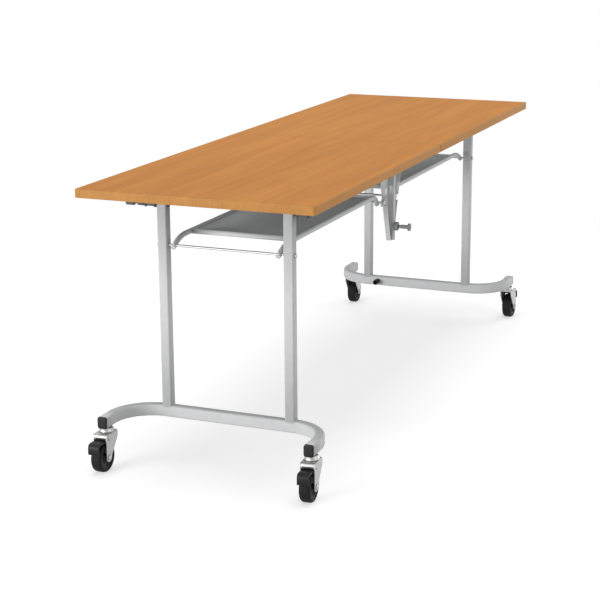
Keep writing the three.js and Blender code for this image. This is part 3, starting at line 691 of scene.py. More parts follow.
@dataclass
class Dresser:
    """Builds every finish once and puts pieces on the frame."""

    materials: dict[Slot, bpy.types.Material] = field(
        default_factory=lambda: {finish.slot: finish.build() for finish in FINISHES}
    )

    def dress_frame(self) -> None:
        """Gives every node of the frame the finish of its slot."""
        for row in frame["record"]["subparts"]:
            node = frame["nodes"][row["node"]]
            node.data.materials.clear()
            node.data.materials.append(self.materials[Slot(row["material_slot"])])

    def put_on(self, piece: bpy.types.Object, slot: Slot, body: str, *replaced: str) -> None:
        """Finishes a new piece, joins it to a body and hides the nodes it stands for.

        Args:
            piece: The new piece, in place.
            slot: Its material slot.
            body: The body it moves with.
            replaced: Nodes of the frame that it stands for.
        """
        piece.data.materials.append(self.materials[slot])
        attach(piece, body)
        if replaced:
            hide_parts(*replaced)
        LOG.info("%s: %d faces on %s", piece.name, len(piece.data.polygons), body)


# Sub-assemblies


@dataclass
class TopEdge:
    """The rounded plastic band round each half top."""

    length: float = 1.8
    width: float = 0.6
    top: float = 0.7
    thickness: float = 0.021
    band: float = 2.0 * MM
    corner: float = 5.0 * MM
    edge_round: float = 1.5 * MM
    seam: float = 0.8 * MM

    def build(self, dresser: Dresser) -> None:
        """Band section swept round the outline of each half top.

        Args:
            dresser: Puts the pieces on the frame.
        """
        x0, x1 = -self.length / 2, -self.seam / 2
        outline = rounded_rectangle(x1 - x0, self.width, self.corner, steps=8) + [(x0 + x1) / 2, 0.0]
        path = np.column_stack([outline, np.full(len(outline), self.top)])
        for end in End:
            grid = sweep(self.section(), end.place(path), UP, closed=True)
            piece = one_piece(f"{end.value}_band_look", grid, closed_v=True)
            dresser.put_on(piece, Slot.EDGE_BAND, f"{end.value}_top", f"{end.value}_edge_band")

    def section(self) -> np.ndarray:
        """Outline of the band: a rounded rectangle of twice its width, cut off flat at the inner side.

        Returns:
            Points of the outline, shape (U, 2).
        """
        outer = rounded_rectangle(self.band * 2, self.thickness, self.edge_round)
        shifted = outer + np.array([self.band, -self.thickness / 2])
        shifted[:, 0] = np.minimum(shifted[:, 0], self.band)
        return shifted


@dataclass
class LegLooks:
    """Base tube, posts, end caps, hinge pins and buffer of the two legs."""

    pivot_x: float = 0.718
    pivot_z: float = 0.640
    post_y: float = 0.164
    post_size: float = 0.025
    post_corner: float = 4.0 * MM
    post_top: float = 0.656
    coping: float = 0.98
    base_top: float = 0.137
    base_height: float = 0.030
    base_width: float = 0.025
    base_corner: float = 6.0 * MM
    bend: float = 0.100
    end_x: float = 0.864
    end_y: float = 0.269
    bead: float = 1.4 * MM
    bead_steps: int = 10
    ripple: float = 0.12
    ripple_pace: float = 2.1
    cap_corner: float = 1.0 * MM
    cap_inset: tuple[float, ...] = (0.2 * MM, 0.2 * MM, 0.5 * MM, 1.2 * MM, 3.0 * MM, 9.0 * MM)
    cap_reach: tuple[float, ...] = (0.2 * MM, 3.6 * MM, 4.4 * MM, 4.9 * MM, 5.2 * MM, 5.3 * MM)
    pin_radius: float = 4.0 * MM
    pin_head_radius: float = 7.0 * MM
    pin_head: Pair = (0.1482, 0.1512)
    pin_flange: Pair = (0.2153, 0.2183)
    spacer_end: float = 0.231
    collar: Pair = (0.241, 0.262)
    collar_radius: float = 8.0 * MM
    buffer_y: float = 0.128
    buffer_radius: float = 8.0 * MM
    buffer_length: float = 0.025
    buffer_seat: float = 0.3 * MM
    buffer_shares: tuple[float, ...] = (0.3, 0.55, 0.5, 0.05)

    @property
    def middle_z(self) -> float:
        """Height of the base tube's centre line."""
        return self.base_top - self.base_height / 2

    def build(self, dresser: Dresser) -> None:
        """All the leg pieces at both ends.

        Args:
            dresser: Puts the pieces on the frame.
        """
        for end in End:
            body = f"{end.value}_leg"
            tube = one_piece(f"{end.value}_base_look", self.base_grid(end))
            dresser.put_on(tube, Slot.GREY_PAINT, body, f"{end.value}_base_tube")
            for side in SIDES:
                place = end.side_name(side)
                post = MeshBuilder().add(self.post_grid(end, side))
                post.add(self.weld_grid(end, side), closed_v=True)
                look = post.build(f"{end.value}_post_look_{place}")
                dresser.put_on(look, Slot.GREY_PAINT, body, f"{end.value}_post_{place}")
                cap = one_piece(f"{end.value}_cap_look_{place}", self.cap_grid(end, side))
                dresser.put_on(cap, Slot.BLACK_PLASTIC, body, f"{end.value}_base_cap_{place}")
                pin = one_piece(f"{end.value}_pin_look_{place}", self.pin_grid(end, side))
                dresser.put_on(pin, Slot.BLACK_PAINT, body, f"{end.value}_hinge_pin_{place}")
                if end is End.RIGHT and place == "back":
                    buffer = one_piece("right_buffer_look", self.buffer_grid(end, side))
                    dresser.put_on(buffer, Slot.BLACK_RUBBER, body, "right_buffer")

    def base_path(self) -> np.ndarray:
        """Centre line of the base: two straight arms, two quarter circles and the bar between them.

        Returns:
            Points of the line, as drawn for the left end, shape (V, 3).
        """
        centre = [-self.pivot_x - self.bend, self.end_y - self.bend]
        half = np.vstack([[-self.end_x, self.end_y], arc(self.bend, math.pi / 2, 0, steps=24) + centre])
        path = np.vstack([half, half[::-1] * [1, -1]])
        return np.column_stack([path, np.full(len(path), self.middle_z)])

    def base_grid(self, end: End) -> np.ndarray:
        """Rounded rectangle swept along the base's centre line."""
        section = rounded_rectangle(self.base_width, self.base_height, self.base_corner)
        return end.place(sweep(section, self.base_path(), UP))

    def post_grid(self, end: End, side: int) -> np.ndarray:
        """Rounded square raised from the base tube.

        The lower ring follows the tube's rounded top: z = top - r + sqrt(r^2 - (|x| - flat)^2) past its flat.

        Args:
            end: End of the table.
            side: Sign of Y, as drawn for the left end.

        Returns:
            Grid of points.
        """
        section = rounded_rectangle(self.post_size, self.post_size, self.post_corner)
        flat = self.base_width / 2 - self.base_corner
        past = np.clip(np.abs(section[:, 0]) - flat, 0, self.base_corner * self.coping)
        foot = self.base_top - self.base_corner + np.sqrt(self.base_corner**2 - past**2)
        ring = section + np.array([-self.pivot_x, side * self.post_y])
        top = np.full(len(ring), self.post_top)
        return end.place(np.stack([np.column_stack([ring, z]) for z in (foot, top)], axis=1))

    def weld_grid(self, end: End, side: int) -> np.ndarray:
        """Weld bead round the post's foot.

        A point is foot(u) + r * (cos(v) * outward(u) + sin(v) * up), with r rippled along the seam.

        Args:
            end: End of the table.
            side: Sign of Y, as drawn for the left end.

        Returns:
            Grid of points that closes in both directions.
        """
        foot = self.post_grid(end, side)[:, 0]
        along = unit(np.roll(foot, -1, axis=0) - np.roll(foot, 1, axis=0))
        outward = np.cross(along, UP)
        level, rise = circle(1.0, self.bead_steps).T
        bead = self.bead * (1 + self.ripple * np.cos(np.arange(len(foot)) * self.ripple_pace))
        ring = level[None, :, None] * outward[:, None] + rise[None, :, None] * UP
        return foot[:, None] + bead[:, None, None] * ring

    def cap_grid(self, end: End, side: int) -> np.ndarray:
        """Rings of the tube's outline, each set in and moved out by a step of a domed profile.

        Args:
            end: End of the table.
            side: Sign of Y, as drawn for the left end.

        Returns:
            Grid of points.
        """
        width, height, corner = self.base_width, self.base_height, self.base_corner
        rings = [
            rounded_rectangle(width - 2 * inset, height - 2 * inset, max(corner - inset, self.cap_corner))
            for inset in self.cap_inset
        ]
        domed = stacked(rings, (-reach for reach in self.cap_reach))[..., [2, 0, 1]]
        return end.place(domed + np.array([-self.end_x, side * self.end_y, self.middle_z]))

    def pin_grid(self, end: End, side: int) -> np.ndarray:
        """Turned hinge pin: a head inside the post and, outside, a flange or a spacer and a collar.

        Args:
            end: End of the table.
            side: Sign of Y, as drawn for the left end.

        Returns:
            Grid of points.
        """
        head, radius, collar = self.pin_head_radius, self.pin_radius, self.collar_radius
        first, last = self.pin_head
        start, flange_end = self.pin_flange
        if end.side_name(side) == "front":
            outer = [(head, flange_end), (TIP, flange_end)]
        else:
            low, high = self.collar
            spacer = [(head, self.spacer_end), (radius, self.spacer_end)]
            outer = [*spacer, (radius, low), (collar, low), (collar, high), (TIP, high)]
        inner = [(TIP, first), (head, first), (head, last), (radius, last), (radius, start), (head, start)]
        pin = turned(inner + outer, soft=1.0 * MM, steps=32) * np.array([1.0, side, 1.0])
        return end.place(pin + np.array([-self.pivot_x, 0.0, self.pivot_z]))

    def buffer_grid(self, end: End, side: int) -> np.ndarray:
        """Turned rubber buffer laid along X on the bar's inner face, with a hollow in its free end.

        Args:
            end: End of the table.
            side: Sign of Y, as drawn for the left end.

        Returns:
            Grid of points.
        """
        radius, length, seat = self.buffer_radius, self.buffer_length, self.buffer_seat
        foot, mouth, well, tip = (share * radius for share in self.buffer_shares)
        body = [(foot, seat), (radius, seat), (radius, length)]
        hollow = [(mouth, length), (well, length / 2), (tip, length / 2)]
        points = turned(body + hollow, soft=2.0 * MM)[..., [1, 0, 2]]
        face = -self.pivot_x + self.base_width / 2
        return end.place(points + np.array([face, side * self.buffer_y, self.middle_z]))


@dataclass
class ShelfLooks:
    """Tube frame, pressed panel and pivot rods of the two shelf halves."""

    leg_x: float = 0.718
    hanger_x: float = 0.050
    pivot_z: float = 0.541
    tube_z: float = 0.5585
    tube_y: float = 0.137
    tube_radius: float = 6.5 * MM
    outer_bend: Pair = (0.690, 0.655)
    inner_bend: Pair = (0.062, 0.084)
    cross_x: Pair = (0.085, 0.628)
    eye: float = 9.0 * MM
    rod_radius: float = 3.0 * MM
    nut_radius: float = 6.0 * MM
    nut: float = 4.5 * MM
    reaches: Pair = (0.1814, 0.1609)
    panel_x: Pair = (0.092, 0.621)
    panel_half: float = 0.130
    panel_top: float = 0.5605
    panel_lip: float = 0.010
    panel_sheet: float = 1.6 * MM
    panel_corners: Pair = (3.0 * MM, 0.4 * MM)
    panel_core: float = 0.1
    fold: Pair = (2.0 * MM, 0.6 * MM)
    fillet: float = 1.2 * MM

    def build(self, dresser: Dresser) -> None:
        """Frames, panels and rods at both ends.

        Args:
            dresser: Puts the pieces on the frame.
        """
        for end in End:
            body = f"{end.value}_shelf"
            builder = MeshBuilder()
            for grid in [self.rail_grid(side) for side in SIDES] + [self.cross_grid(x) for x in self.cross_x]:
                builder.add(end.place(grid))
            tubes = builder.build(f"{end.value}_shelf_frame_look")
            dresser.put_on(tubes, Slot.GREY_PAINT, body, f"{end.value}_shelf_frame")
            pan = one_piece(f"{end.value}_shelf_panel_look", end.place(self.panel_grid()))
            dresser.put_on(pan, Slot.SHELF_PAINT, body, f"{end.value}_shelf_panel")
            for name, x, reach in zip(("outer", "inner"), (self.leg_x, self.hanger_x), self.reaches):
                grid = nutted_rod(self.rod_radius, reach, self.nut_radius, self.nut) + [-x, 0.0, self.pivot_z]
                rod = one_piece(f"{end.value}_rod_look_{name}", end.place(grid))
                dresser.put_on(rod, Slot.ZINC, body, f"{end.value}_shelf_rod_{name}")

    def panel_grid(self) -> np.ndarray:
        """Pressed pan: rings of a rounded rectangle, each set in and raised along the folded sheet's outline.

        Returns:
            Grid of points, as drawn for the left end.
        """
        sheet, top, core = self.panel_sheet, self.panel_top, self.panel_core
        floor, inner = top - self.panel_lip, sheet + self.fillet
        fold, knee = self.fold
        steps = [
            (core, top - sheet),
            (inner, top - sheet),
            (sheet, top - inner),
            (sheet, floor),
            (0.0, floor),
            (0.0, top - fold),
            (knee, top - knee),
            (fold, top),
            (core, top),
        ]
        x0, x1 = self.panel_x
        length, width = x1 - x0, 2 * self.panel_half
        corner, least = self.panel_corners
        rings = [
            rounded_rectangle(length - 2 * inset, width - 2 * inset, max(corner - inset, least))
            for inset, _ in steps
        ]
        return stacked(rings, (level for _, level in steps)) - np.array([(x0 + x1) / 2, 0.0, 0.0])

    def rail_grid(self, side: int) -> np.ndarray:
        """Round tube swept along a line that arches down to a pivot at both ends.

        Args:
            side: Sign of Y, as drawn for the left end.

        Returns:
            Grid of points.
        """
        y, z = side * self.tube_y, self.tube_z
        (outer_control, outer_end), (inner_control, inner_end) = self.outer_bend, self.inner_bend
        leg, hanger = (-self.leg_x, y, self.pivot_z), (-self.hanger_x, y, self.pivot_z)
        outer = quadratic(leg, (-outer_control, y, z), (-outer_end, y, z), steps=14)
        inner = quadratic((-inner_end, y, z), (-inner_control, y, z), hanger, steps=12)
        first = outer[0] + unit(outer[0] - outer[1]) * self.eye
        last = inner[-1] + unit(inner[-1] - inner[-2]) * self.eye
        return sweep(circle(self.tube_radius), np.vstack([first, outer, inner, last]), ACROSS)

    def cross_grid(self, x: float) -> np.ndarray:
        """Straight round bar from rail to rail."""
        path = np.array([[-x, side * self.tube_y, self.tube_z] for side in SIDES])
        return sweep(circle(self.tube_radius), path, UP)


@dataclass(frozen=True)
class Bracket:
    """Sizes of one kind of hinge bracket: its pivot, its ears and their bush."""

    name: str
    slot: Slot
    x: float
    inner: float
    outer: float
    half: float
    ear: float
    bore: float
    bush: float


@dataclass
class BracketLooks:
    """Hinge brackets under the half tops: a plate, two ears and a bush between them."""

    top: float = 0.6787
    pivot_z: float = 0.640
    plate: float = 3.0 * MM
    plate_corner: float = 4.0 * MM
    sheet: float = 4.0 * MM
    lip: float = 3.0 * MM
    ear_top: float = 0.022
    edge: float = 0.5 * MM
    bush_seat: float = 1.0 * MM
    kinds: tuple[Bracket, ...] = (
        Bracket(
            "leg_bracket",
            Slot.BLACK_PAINT,
            x=0.718,
            inner=0.183,
            outer=0.212,
            half=0.030,
            ear=0.009,
            bore=0.0044,
            bush=0.007,
        ),
        Bracket(
            "centre_bracket",
            Slot.GREY_PAINT,
            x=0.050,
            inner=0.178,
            outer=0.202,
            half=0.025,
            ear=0.012,
            bore=0.0064,
            bush=0.009,
        ),
    )

    def build(self, dresser: Dresser) -> None:
        """Both kinds on both sides of both ends.

        Args:
            dresser: Puts the pieces on the frame.
        """
        for end in End:
            for side in SIDES:
                for kind in self.kinds:
                    node = f"{end.value}_{kind.name}_{end.side_name(side)}"
                    builder = MeshBuilder().add(end.place(self.plate_grid(kind, side)), smooth=False)
                    ears = [self.ear_grid(kind, side, near) for near in (kind.inner, kind.outer - self.sheet)]
                    for grid in [*ears, self.bush_grid(kind, side)]:
                        builder.add(end.place(grid), closed_v=True, smooth=False)
                    dresser.put_on(builder.build(f"{node}_look"), kind.slot, f"{end.value}_top", node)

    def plate_grid(self, kind: Bracket, side: int) -> np.ndarray:
        """Rounded plate against the underside of the top.

        Args:
            kind: Kind of bracket.
            side: Sign of Y, as drawn for the left end.

        Returns:
            Grid of points.
        """
        outline = rounded_rectangle(2 * kind.half, kind.outer - kind.inner + 2 * self.lip, self.plate_corner)
        flat = slab(outline, self.top - self.plate, self.top, self.edge)[..., [0, 2, 1]]
        return flat + np.array([-kind.x, side * (kind.inner + kind.outer) / 2, 0.0])

    def ear_grid(self, kind: Bracket, side: int, near: float) -> np.ndarray:
        """Ear: a half circle about the pivot, spreading up to the plate, with a hole for the pin.

        Args:
            kind: Kind of bracket.
            side: Sign of Y, as drawn for the left end.
            near: Distance of the ear's near face from the table's middle.

        Returns:
            Grid of points that closes in both directions.
        """
        pivot = np.array([-kind.x, self.pivot_z])
        corners = np.array([[-kind.x + self.ear_top, self.top], [-kind.x - self.ear_top, self.top]])
        outline = np.vstack([pivot + arc(kind.ear, math.pi, 2 * math.pi, steps=24), corners])
        low, high = sorted((side * near, side * (near + self.sheet)))
        return pierced(outline, pivot, kind.bore, (low, high), self.edge)

    def bush_grid(self, kind: Bracket, side: int) -> np.ndarray:
        """Turned sleeve between the ears.

        Args:
            kind: Kind of bracket.
            side: Sign of Y, as drawn for the left end.

        Returns:
            Grid of points that closes in both directions.
        """
        y0, y1 = side * (kind.inner + self.bush_seat), side * (kind.outer - self.bush_seat)
        profile = [(kind.bore, y0), (kind.bush, y0), (kind.bush, y1), (kind.bore, y1)]
        return revolve(profile, steps=32) + np.array([-kind.x, 0.0, self.pivot_z])


@dataclass
class HangerLooks:
    """Pressed hanger plates with windows, flanges and a square strut, and the shafts that tie them."""

    half_widths: tuple[float, ...] = (0.013, 0.068, 0.068, 0.060)
    heights: tuple[float, ...] = (0.430, 0.610, 0.640, 0.660)
    inner_y: float = 0.153
    sheet: float = 3.0 * MM
    flange_y: float = 0.166
    flange_round: float = 1.0 * MM
    flange_points: int = 30
    relief: Pair = (0.533, 0.548)
    strut_half: float = 0.008
    strut_wall: float = 1.5 * MM
    strut_y: float = 0.172
    strut_corners: Pair = (2.0 * MM, 0.8 * MM)
    window: Pair = (0.552, 0.582)
    window_inner: float = 0.014
    window_margin: float = 0.009
    window_shares: Pair = (0.35, 0.7)
    lug_radius: float = 0.011
    lug_bore: float = 3.4 * MM
    lug_proud: float = 0.15 * MM
    pivot_x: float = 0.050
    shelf_z: float = 0.541
    shaft_z: float = 0.640
    shaft_radius: float = 6.0 * MM
    shaft_reach: float = 0.209
    collar_radius: float = 9.0 * MM
    collar: float = 6.0 * MM

    def build(self, dresser: Dresser) -> None:
        """Both plates and both shafts.

        Args:
            dresser: Puts the pieces on the frame.
        """
        for side in SIDES:
            place = End.LEFT.side_name(side)
            plate = MeshBuilder().gather(*self.sheet_faces(side), [], smooth=False)
            plate.add(self.strut_grid(side), closed_v=True)
            for edge in SIDES:
                plate.add(self.lug_grid(side, edge), closed_v=True, smooth=False)
                for low, high in ((self.heights[0], self.relief[0]), (self.relief[1], self.heights[2])):
                    plate.add(self.flange_grid(side, edge, low, high))
            look = plate.build(f"hanger_plate_look_{place}")
            dresser.put_on(look, Slot.GREY_PAINT, "hanger", f"hanger_plate_{place}")
        for end in End:
            grid = nutted_rod(self.shaft_radius, self.shaft_reach, self.collar_radius, self.collar)
            grid = grid + np.array([-end.sign * self.pivot_x, 0.0, self.shaft_z])
            shaft = one_piece(f"hanger_shaft_look_{end.value}", grid)
            dresser.put_on(shaft, Slot.ZINC, "hanger", f"hanger_shaft_{end.value}")

    def half_width(self, z: np.ndarray) -> np.ndarray:
        """Half the plate's width at each height, straight between its corners."""
        return np.interp(z, self.heights, self.half_widths)

    def sheet_faces(self, side: int) -> tuple[np.ndarray, np.ndarray]:
        """Plate as a sheet of cells. The two cells between the strut and the slanted edges are windows.

        Args:
            side: Sign of Y.

        Returns:
            Points, and four indices for each face.
        """
        levels = np.array([self.heights[0], *self.window, *self.heights[1:]])
        half = self.half_width(levels)
        inner = np.minimum(self.window_inner, self.window_shares[0] * half)
        outer = np.maximum(half - self.window_margin, self.window_shares[1] * half)
        x = np.stack([-half, -outer, -inner, inner, outer, half])
        kept = np.ones((len(x) - 1, len(levels) - 1), dtype=bool)
        kept[[1, 3], 1] = False
        low, high = sorted((side * self.inner_y, side * (self.inner_y + self.sheet)))
        return windowed_sheet(x, np.broadcast_to(levels, x.shape), kept, (low, high))

    def strut_grid(self, side: int) -> np.ndarray:
        """Square tube up the plate's middle: an outer and an inner rounded square joined at both ends.

        Args:
            side: Sign of Y.

        Returns:
            Grid of points that closes in both directions.
        """
        width, depth = 2 * self.strut_half, self.strut_y - self.inner_y - self.sheet / 2
        walls = 2 * self.strut_wall
        outer_corner, bore_corner = self.strut_corners
        outer = rounded_rectangle(width, depth, outer_corner)
        bore = rounded_rectangle(width - walls, depth - walls, bore_corner)
        low, high = self.heights[0], self.heights[-1]
        tube = stacked([outer, outer, bore, bore], (low, high, high, low))
        return tube + np.array([0.0, side * (self.strut_y - depth / 2), 0.0])

    def lug_grid(self, side: int, edge: int) -> np.ndarray:
        """Turned lug round a shelf pivot, a little prouder than the sheet.

        Args:
            side: Sign of Y.
            edge: Sign of X.

        Returns:
            Grid of points that closes in both directions.
        """
        near, far = self.inner_y - self.lug_proud, self.inner_y + self.sheet + self.lug_proud
        ring = ((self.lug_bore, near), (self.lug_radius, near), (self.lug_radius, far), (self.lug_bore, far))
        profile = [(radius, side * y) for radius, y in ring]
        return revolve(profile, steps=36) + np.array([edge * self.pivot_x, 0.0, self.shelf_z])

    def flange_grid(self, side: int, edge: int, low: float, high: float) -> np.ndarray:
        """Turned-up edge: a rounded strip swept along the plate's side between two heights.

        Args:
            side: Sign of Y.
            edge: Sign of X.
            low: Height of the lower end.
            high: Height of the upper end.

        Returns:
            Grid of points.
        """
        z = np.linspace(low, high, self.flange_points)
        path = np.stack([edge * (self.half_width(z) - self.sheet / 2), np.zeros_like(z), z], axis=1)
        depth = self.flange_y - self.inner_y
        section = rounded_rectangle(self.sheet, depth, self.flange_round)
        return sweep(section + [0.0, side * (self.inner_y + depth / 2)], path, ACROSS)


@dataclass
class LockLooks:
    """Pull knob and housing on the front of the hanger."""

    z: float = 0.468
    face: float = 0.1723
    housing_end: float = 0.183
    housing_radius: float = 0.012
    pin_radius: float = 4.0 * MM
    clearance: float = 0.4 * MM
    shoulder: float = 0.1894
    stem_radius: float = 5.4 * MM
    head_radius: float = 10.5 * MM
    head: Pair = (0.212, 0.218)
    nose: float = 0.1534
    soft: float = 1.5 * MM

    def build(self, dresser: Dresser) -> None:
        """Plunger and housing, both turned.

        Args:
            dresser: Puts the pieces on the frame.
        """
        head_start, head_end = self.head
        plunger = [
            (TIP, -head_end),
            (self.head_radius, -head_end),
            (self.head_radius, -head_start),
            (self.stem_radius, -head_start),
            (self.stem_radius, -self.shoulder),
            (self.pin_radius, -self.shoulder),
            (self.pin_radius, -self.nose),
            (TIP, -self.nose),
        ]
        bore, radius = self.pin_radius + self.clearance, self.housing_radius
        near, far = -self.face, -self.housing_end
        housing = [(bore, near), (radius, near), (radius, far), (bore, far), (bore, near)]
        place = np.array([0.0, 0.0, self.z])
        knob = one_piece("lock_plunger_look", turned(plunger, self.soft) + place)
        dresser.put_on(knob, Slot.GREY_PLASTIC, "lock", "lock_plunger")
        grid = turned(housing, self.soft)[:, :-1] + place
        dresser.put_on(
            one_piece("lock_housing_look", grid, closed_v=True), Slot.GREY_PLASTIC, "hanger", "lock_housing"
        )


@dataclass
class CasterLooks:
    """One caster: wheel, fork, collar, axle and brake pedal, drawn with the wheel trailing towards -X."""

    name: str
    stem: Pair
    angle: float
    trail: float = 0.024
    radius: float = 0.0375
    half_width: float = 0.014
    rim: float = 0.028
    tyre_rise: float = 2.0 * MM
    tyre_chamfer: float = 1.5 * MM
    tyre_shoulder: tuple[Pair, ...] = ((4.0 * MM, 0.0), (0.8 * MM, 3.0 * MM), (0.0, 8.0 * MM))
    hub: float = 0.009
    hub_seat: float = 0.1 * MM
    hub_rim: Pair = (3.0 * MM, 4.0 * MM)
    hub_sunk: float = 2.0 * MM
    hub_draft: float = 1.0 * MM
    hub_proud: float = 1.4 * MM
    hub_bore: float = 4.4 * MM
    web_half: float = 5.0 * MM
    axle_radius: float = 4.0 * MM
    axle_crown: float = 4.5 * MM
    axle_head: float = 7.0 * MM
    axle_reaches: Triple = (0.0193, 0.0212, 0.023)
    fork_inner: float = 0.016
    sheet: float = 3.0 * MM
    sheet_edge: float = 0.5 * MM
    fork_top: float = 0.096
    fork_front: float = 0.020
    fork_rear: float = -0.035
    cheek_z: float = 0.080
    cheek_corner: float = 3.0 * MM
    hood_bend: float = 5.0 * MM
    hood_round: float = 0.6 * MM
    apron: float = 0.084
    eye: float = 0.011
    collar_bore: float = 4.0 * MM
    collar_top: float = 0.1067
    collar_radius: float = 0.018
    collar_flare: float = 1.0 * MM
    collar_wall: float = 5.0 * MM
    collar_taper: float = 3.0 * MM
    collar_gap: float = 0.1 * MM
    pedal_half: float = 0.015
    pedal_sheet: float = 5.0 * MM
    pedal_round: float = 1.8 * MM
    pedal_start: float = 0.023
    pedal_reach: float = 0.069
    pedal_top: float = 0.082
    pedal_bottom: float = 0.0556
    pedal_bend: float = 0.010
    pivot_x: float = 0.026
    pivot_z: float = 0.083
    lug_radius: float = 5.0 * MM
    pin_radius: float = 3.0 * MM
    pin_half: float = 0.019

    def place(self, points: np.ndarray) -> np.ndarray:
        """Turns points about the swivel axis and moves them under the stem.

        Args:
            points: Points as drawn, with the swivel axis at the origin.

        Returns:
            The points in place.
        """
        c, s = math.cos(self.angle), math.sin(self.angle)
        turn = np.array([[c, s, 0.0], [-s, c, 0.0], [0.0, 0.0, 1.0]])
        return points @ turn + np.array([*self.stem, 0.0])

    def build(self, dresser: Dresser) -> None:
        """All pieces of the caster.

        Args:
            dresser: Puts the pieces on the frame.
        """
        swivel, wheel = f"{self.name}_swivel", f"{self.name}_wheel"
        axle = np.array([-self.trail, 0.0, self.radius])
        tyre = one_piece(f"{self.name}_tyre_look", self.place(self.tyre_grid() + axle), closed_v=True)
        dresser.put_on(tyre, Slot.BLACK_RUBBER, wheel, f"{self.name}_caster_wheel")
        hub = one_piece(f"{self.name}_hub_look", self.place(self.hub_grid() + axle), closed_v=True)
        dresser.put_on(hub, Slot.BLACK_PLASTIC, wheel)
        bolt = one_piece(f"{self.name}_axle_look", self.place(self.axle_grid() + axle))
        dresser.put_on(bolt, Slot.ZINC, swivel, f"{self.name}_caster_axle")
        fork = MeshBuilder()
        for grid in (self.hood_grid(), *(self.cheek_grid(side) for side in SIDES), self.collar_grid()):
            fork.add(self.place(grid))
        dresser.put_on(fork.build(f"{self.name}_fork_look"), Slot.ZINC, swivel, f"{self.name}_caster_fork")
        pedal = MeshBuilder().add(self.place(self.pedal_grid()))
        for radius, half in ((self.lug_radius, self.pedal_half), (self.pin_radius, self.pin_half)):
            pedal.add(self.place(self.pivot_grid(radius, half)))
        look = pedal.build(f"{self.name}_pedal_look")
        dresser.put_on(look, Slot.BLACK_PLASTIC, f"{self.name}_pedal", f"{self.name}_brake_pedal")

    def tyre_grid(self) -> np.ndarray:
        """Turned tyre with a crowned tread.

        Returns:
            Grid of points about the axle that closes in both directions.
        """
        face = -self.half_width
        bead = [(self.rim, face + self.tyre_chamfer), (self.rim + self.tyre_rise, face)]
        tread = [(self.radius - depth, face + inset) for depth, inset in self.tyre_shoulder]
        return turned(mirrored(bead + tread), soft=2.0 * MM, steps=56)

    def hub_grid(self) -> np.ndarray:
        """Turned wheel centre with a sunk web.

        Returns:
            Grid of points about the axle that closes in both directions.
        """
        outer, inner = self.half_width - self.hub_sunk, self.half_width + self.hub_proud
        lip, foot = self.hub_rim
        half = [
            (self.rim - self.hub_seat, -outer),
            (self.rim - lip, -outer),
            (self.rim - foot, -self.web_half),
            (self.hub, -self.web_half),
            (self.hub - self.hub_draft, -inner),
            (self.hub_bore, -inner),
        ]
        return revolve(mirrored(half), steps=48)

    def axle_grid(self) -> np.ndarray:
        """Turned axle bolt with low domed heads.

        Returns:
            Grid of points about the axle.
        """
        seat, brim, crown = self.axle_reaches
        dome = [(TIP, -crown), (self.axle_crown, -crown), (self.axle_head, -brim)]
        half = [*dome, (self.axle_head, -seat), (self.axle_radius, -seat)]
        return turned(mirrored(half), soft=0.8 * MM, steps=32)

    def cheek_grid(self, side: int) -> np.ndarray:
        """Fork cheek: a plate whose outline falls from the hood to a round eye about the axle.

        Args:
            side: Sign of Y.

        Returns:
            Grid of points.
        """
        eye = arc(self.eye, math.pi, 2 * math.pi, steps=32) + [-self.trail, self.radius]
        rear, front, top = self.fork_rear, self.fork_front, self.fork_top
        upper = [tuple(eye[-1]), (front, self.cheek_z), (front, top), (rear, top), tuple(eye[0])]
        outline = np.vstack([eye, softened(upper, self.cheek_corner)[1:-1]])
        low, high = sorted((side * self.fork_inner, side * (self.fork_inner + self.sheet)))
        return slab(outline, low, high, self.sheet_edge)

    def hood_grid(self) -> np.ndarray:
        """Strip between the cheeks, swept over the wheel and turned down behind it.

        Returns:
            Grid of points.
        """
        z, x, bend = self.fork_top - self.sheet / 2, self.fork_rear + self.sheet / 2, self.hood_bend
        curve = quadratic((x + bend, 0, z), (x, 0, z), (x, 0, z - bend), steps=8)
        path = np.vstack([(self.fork_front, 0, z), curve, (x, 0, self.apron)])
        section = rounded_rectangle(self.sheet, 2 * self.fork_inner + self.sheet, self.hood_round)
        return sweep(section, path, ACROSS)

    def collar_grid(self) -> np.ndarray:
        """Turned swivel cup under the base tube, its axis laid from Y to Z.

        Returns:
            Grid of points.
        """
        low, high, radius = self.fork_top + self.collar_gap, self.collar_top, self.collar_radius
        outer = [(radius + self.collar_flare, low), (radius, low + self.collar_wall)]
        crown = [(radius - self.collar_taper, high), (self.collar_bore, high)]
        return turned([(self.collar_bore, low), *outer, *crown], soft=1.5 * MM)[..., [0, 2, 1]]

    def pedal_grid(self) -> np.ndarray:
        """Rounded strip swept along an inverted L: a tread over the wheel and a wall in front of it.

        Returns:
            Grid of points.
        """
        x, z = -self.pedal_reach + self.pedal_sheet / 2, self.pedal_top - self.pedal_sheet / 2
        curve = quadratic((x + self.pedal_bend, 0, z), (x, 0, z), (x, 0, z - self.pedal_bend), steps=10)
        path = np.vstack([(-self.pedal_start, 0, z), curve, (x, 0, self.pedal_bottom)])
        section = rounded_rectangle(self.pedal_sheet, 2 * self.pedal_half, self.pedal_round)
        return sweep(section, path, ACROSS)

    def pivot_grid(self, radius: float, half: float) -> np.ndarray:
        """Turned bar along the pedal's pivot, with broken ends."""
        profile = mirrored([(TIP, -half), (radius, -half)])
        return turned(profile, soft=0.6 * MM, steps=28) + np.array([-self.pivot_x, 0.0, self.pivot_z])


# Stage


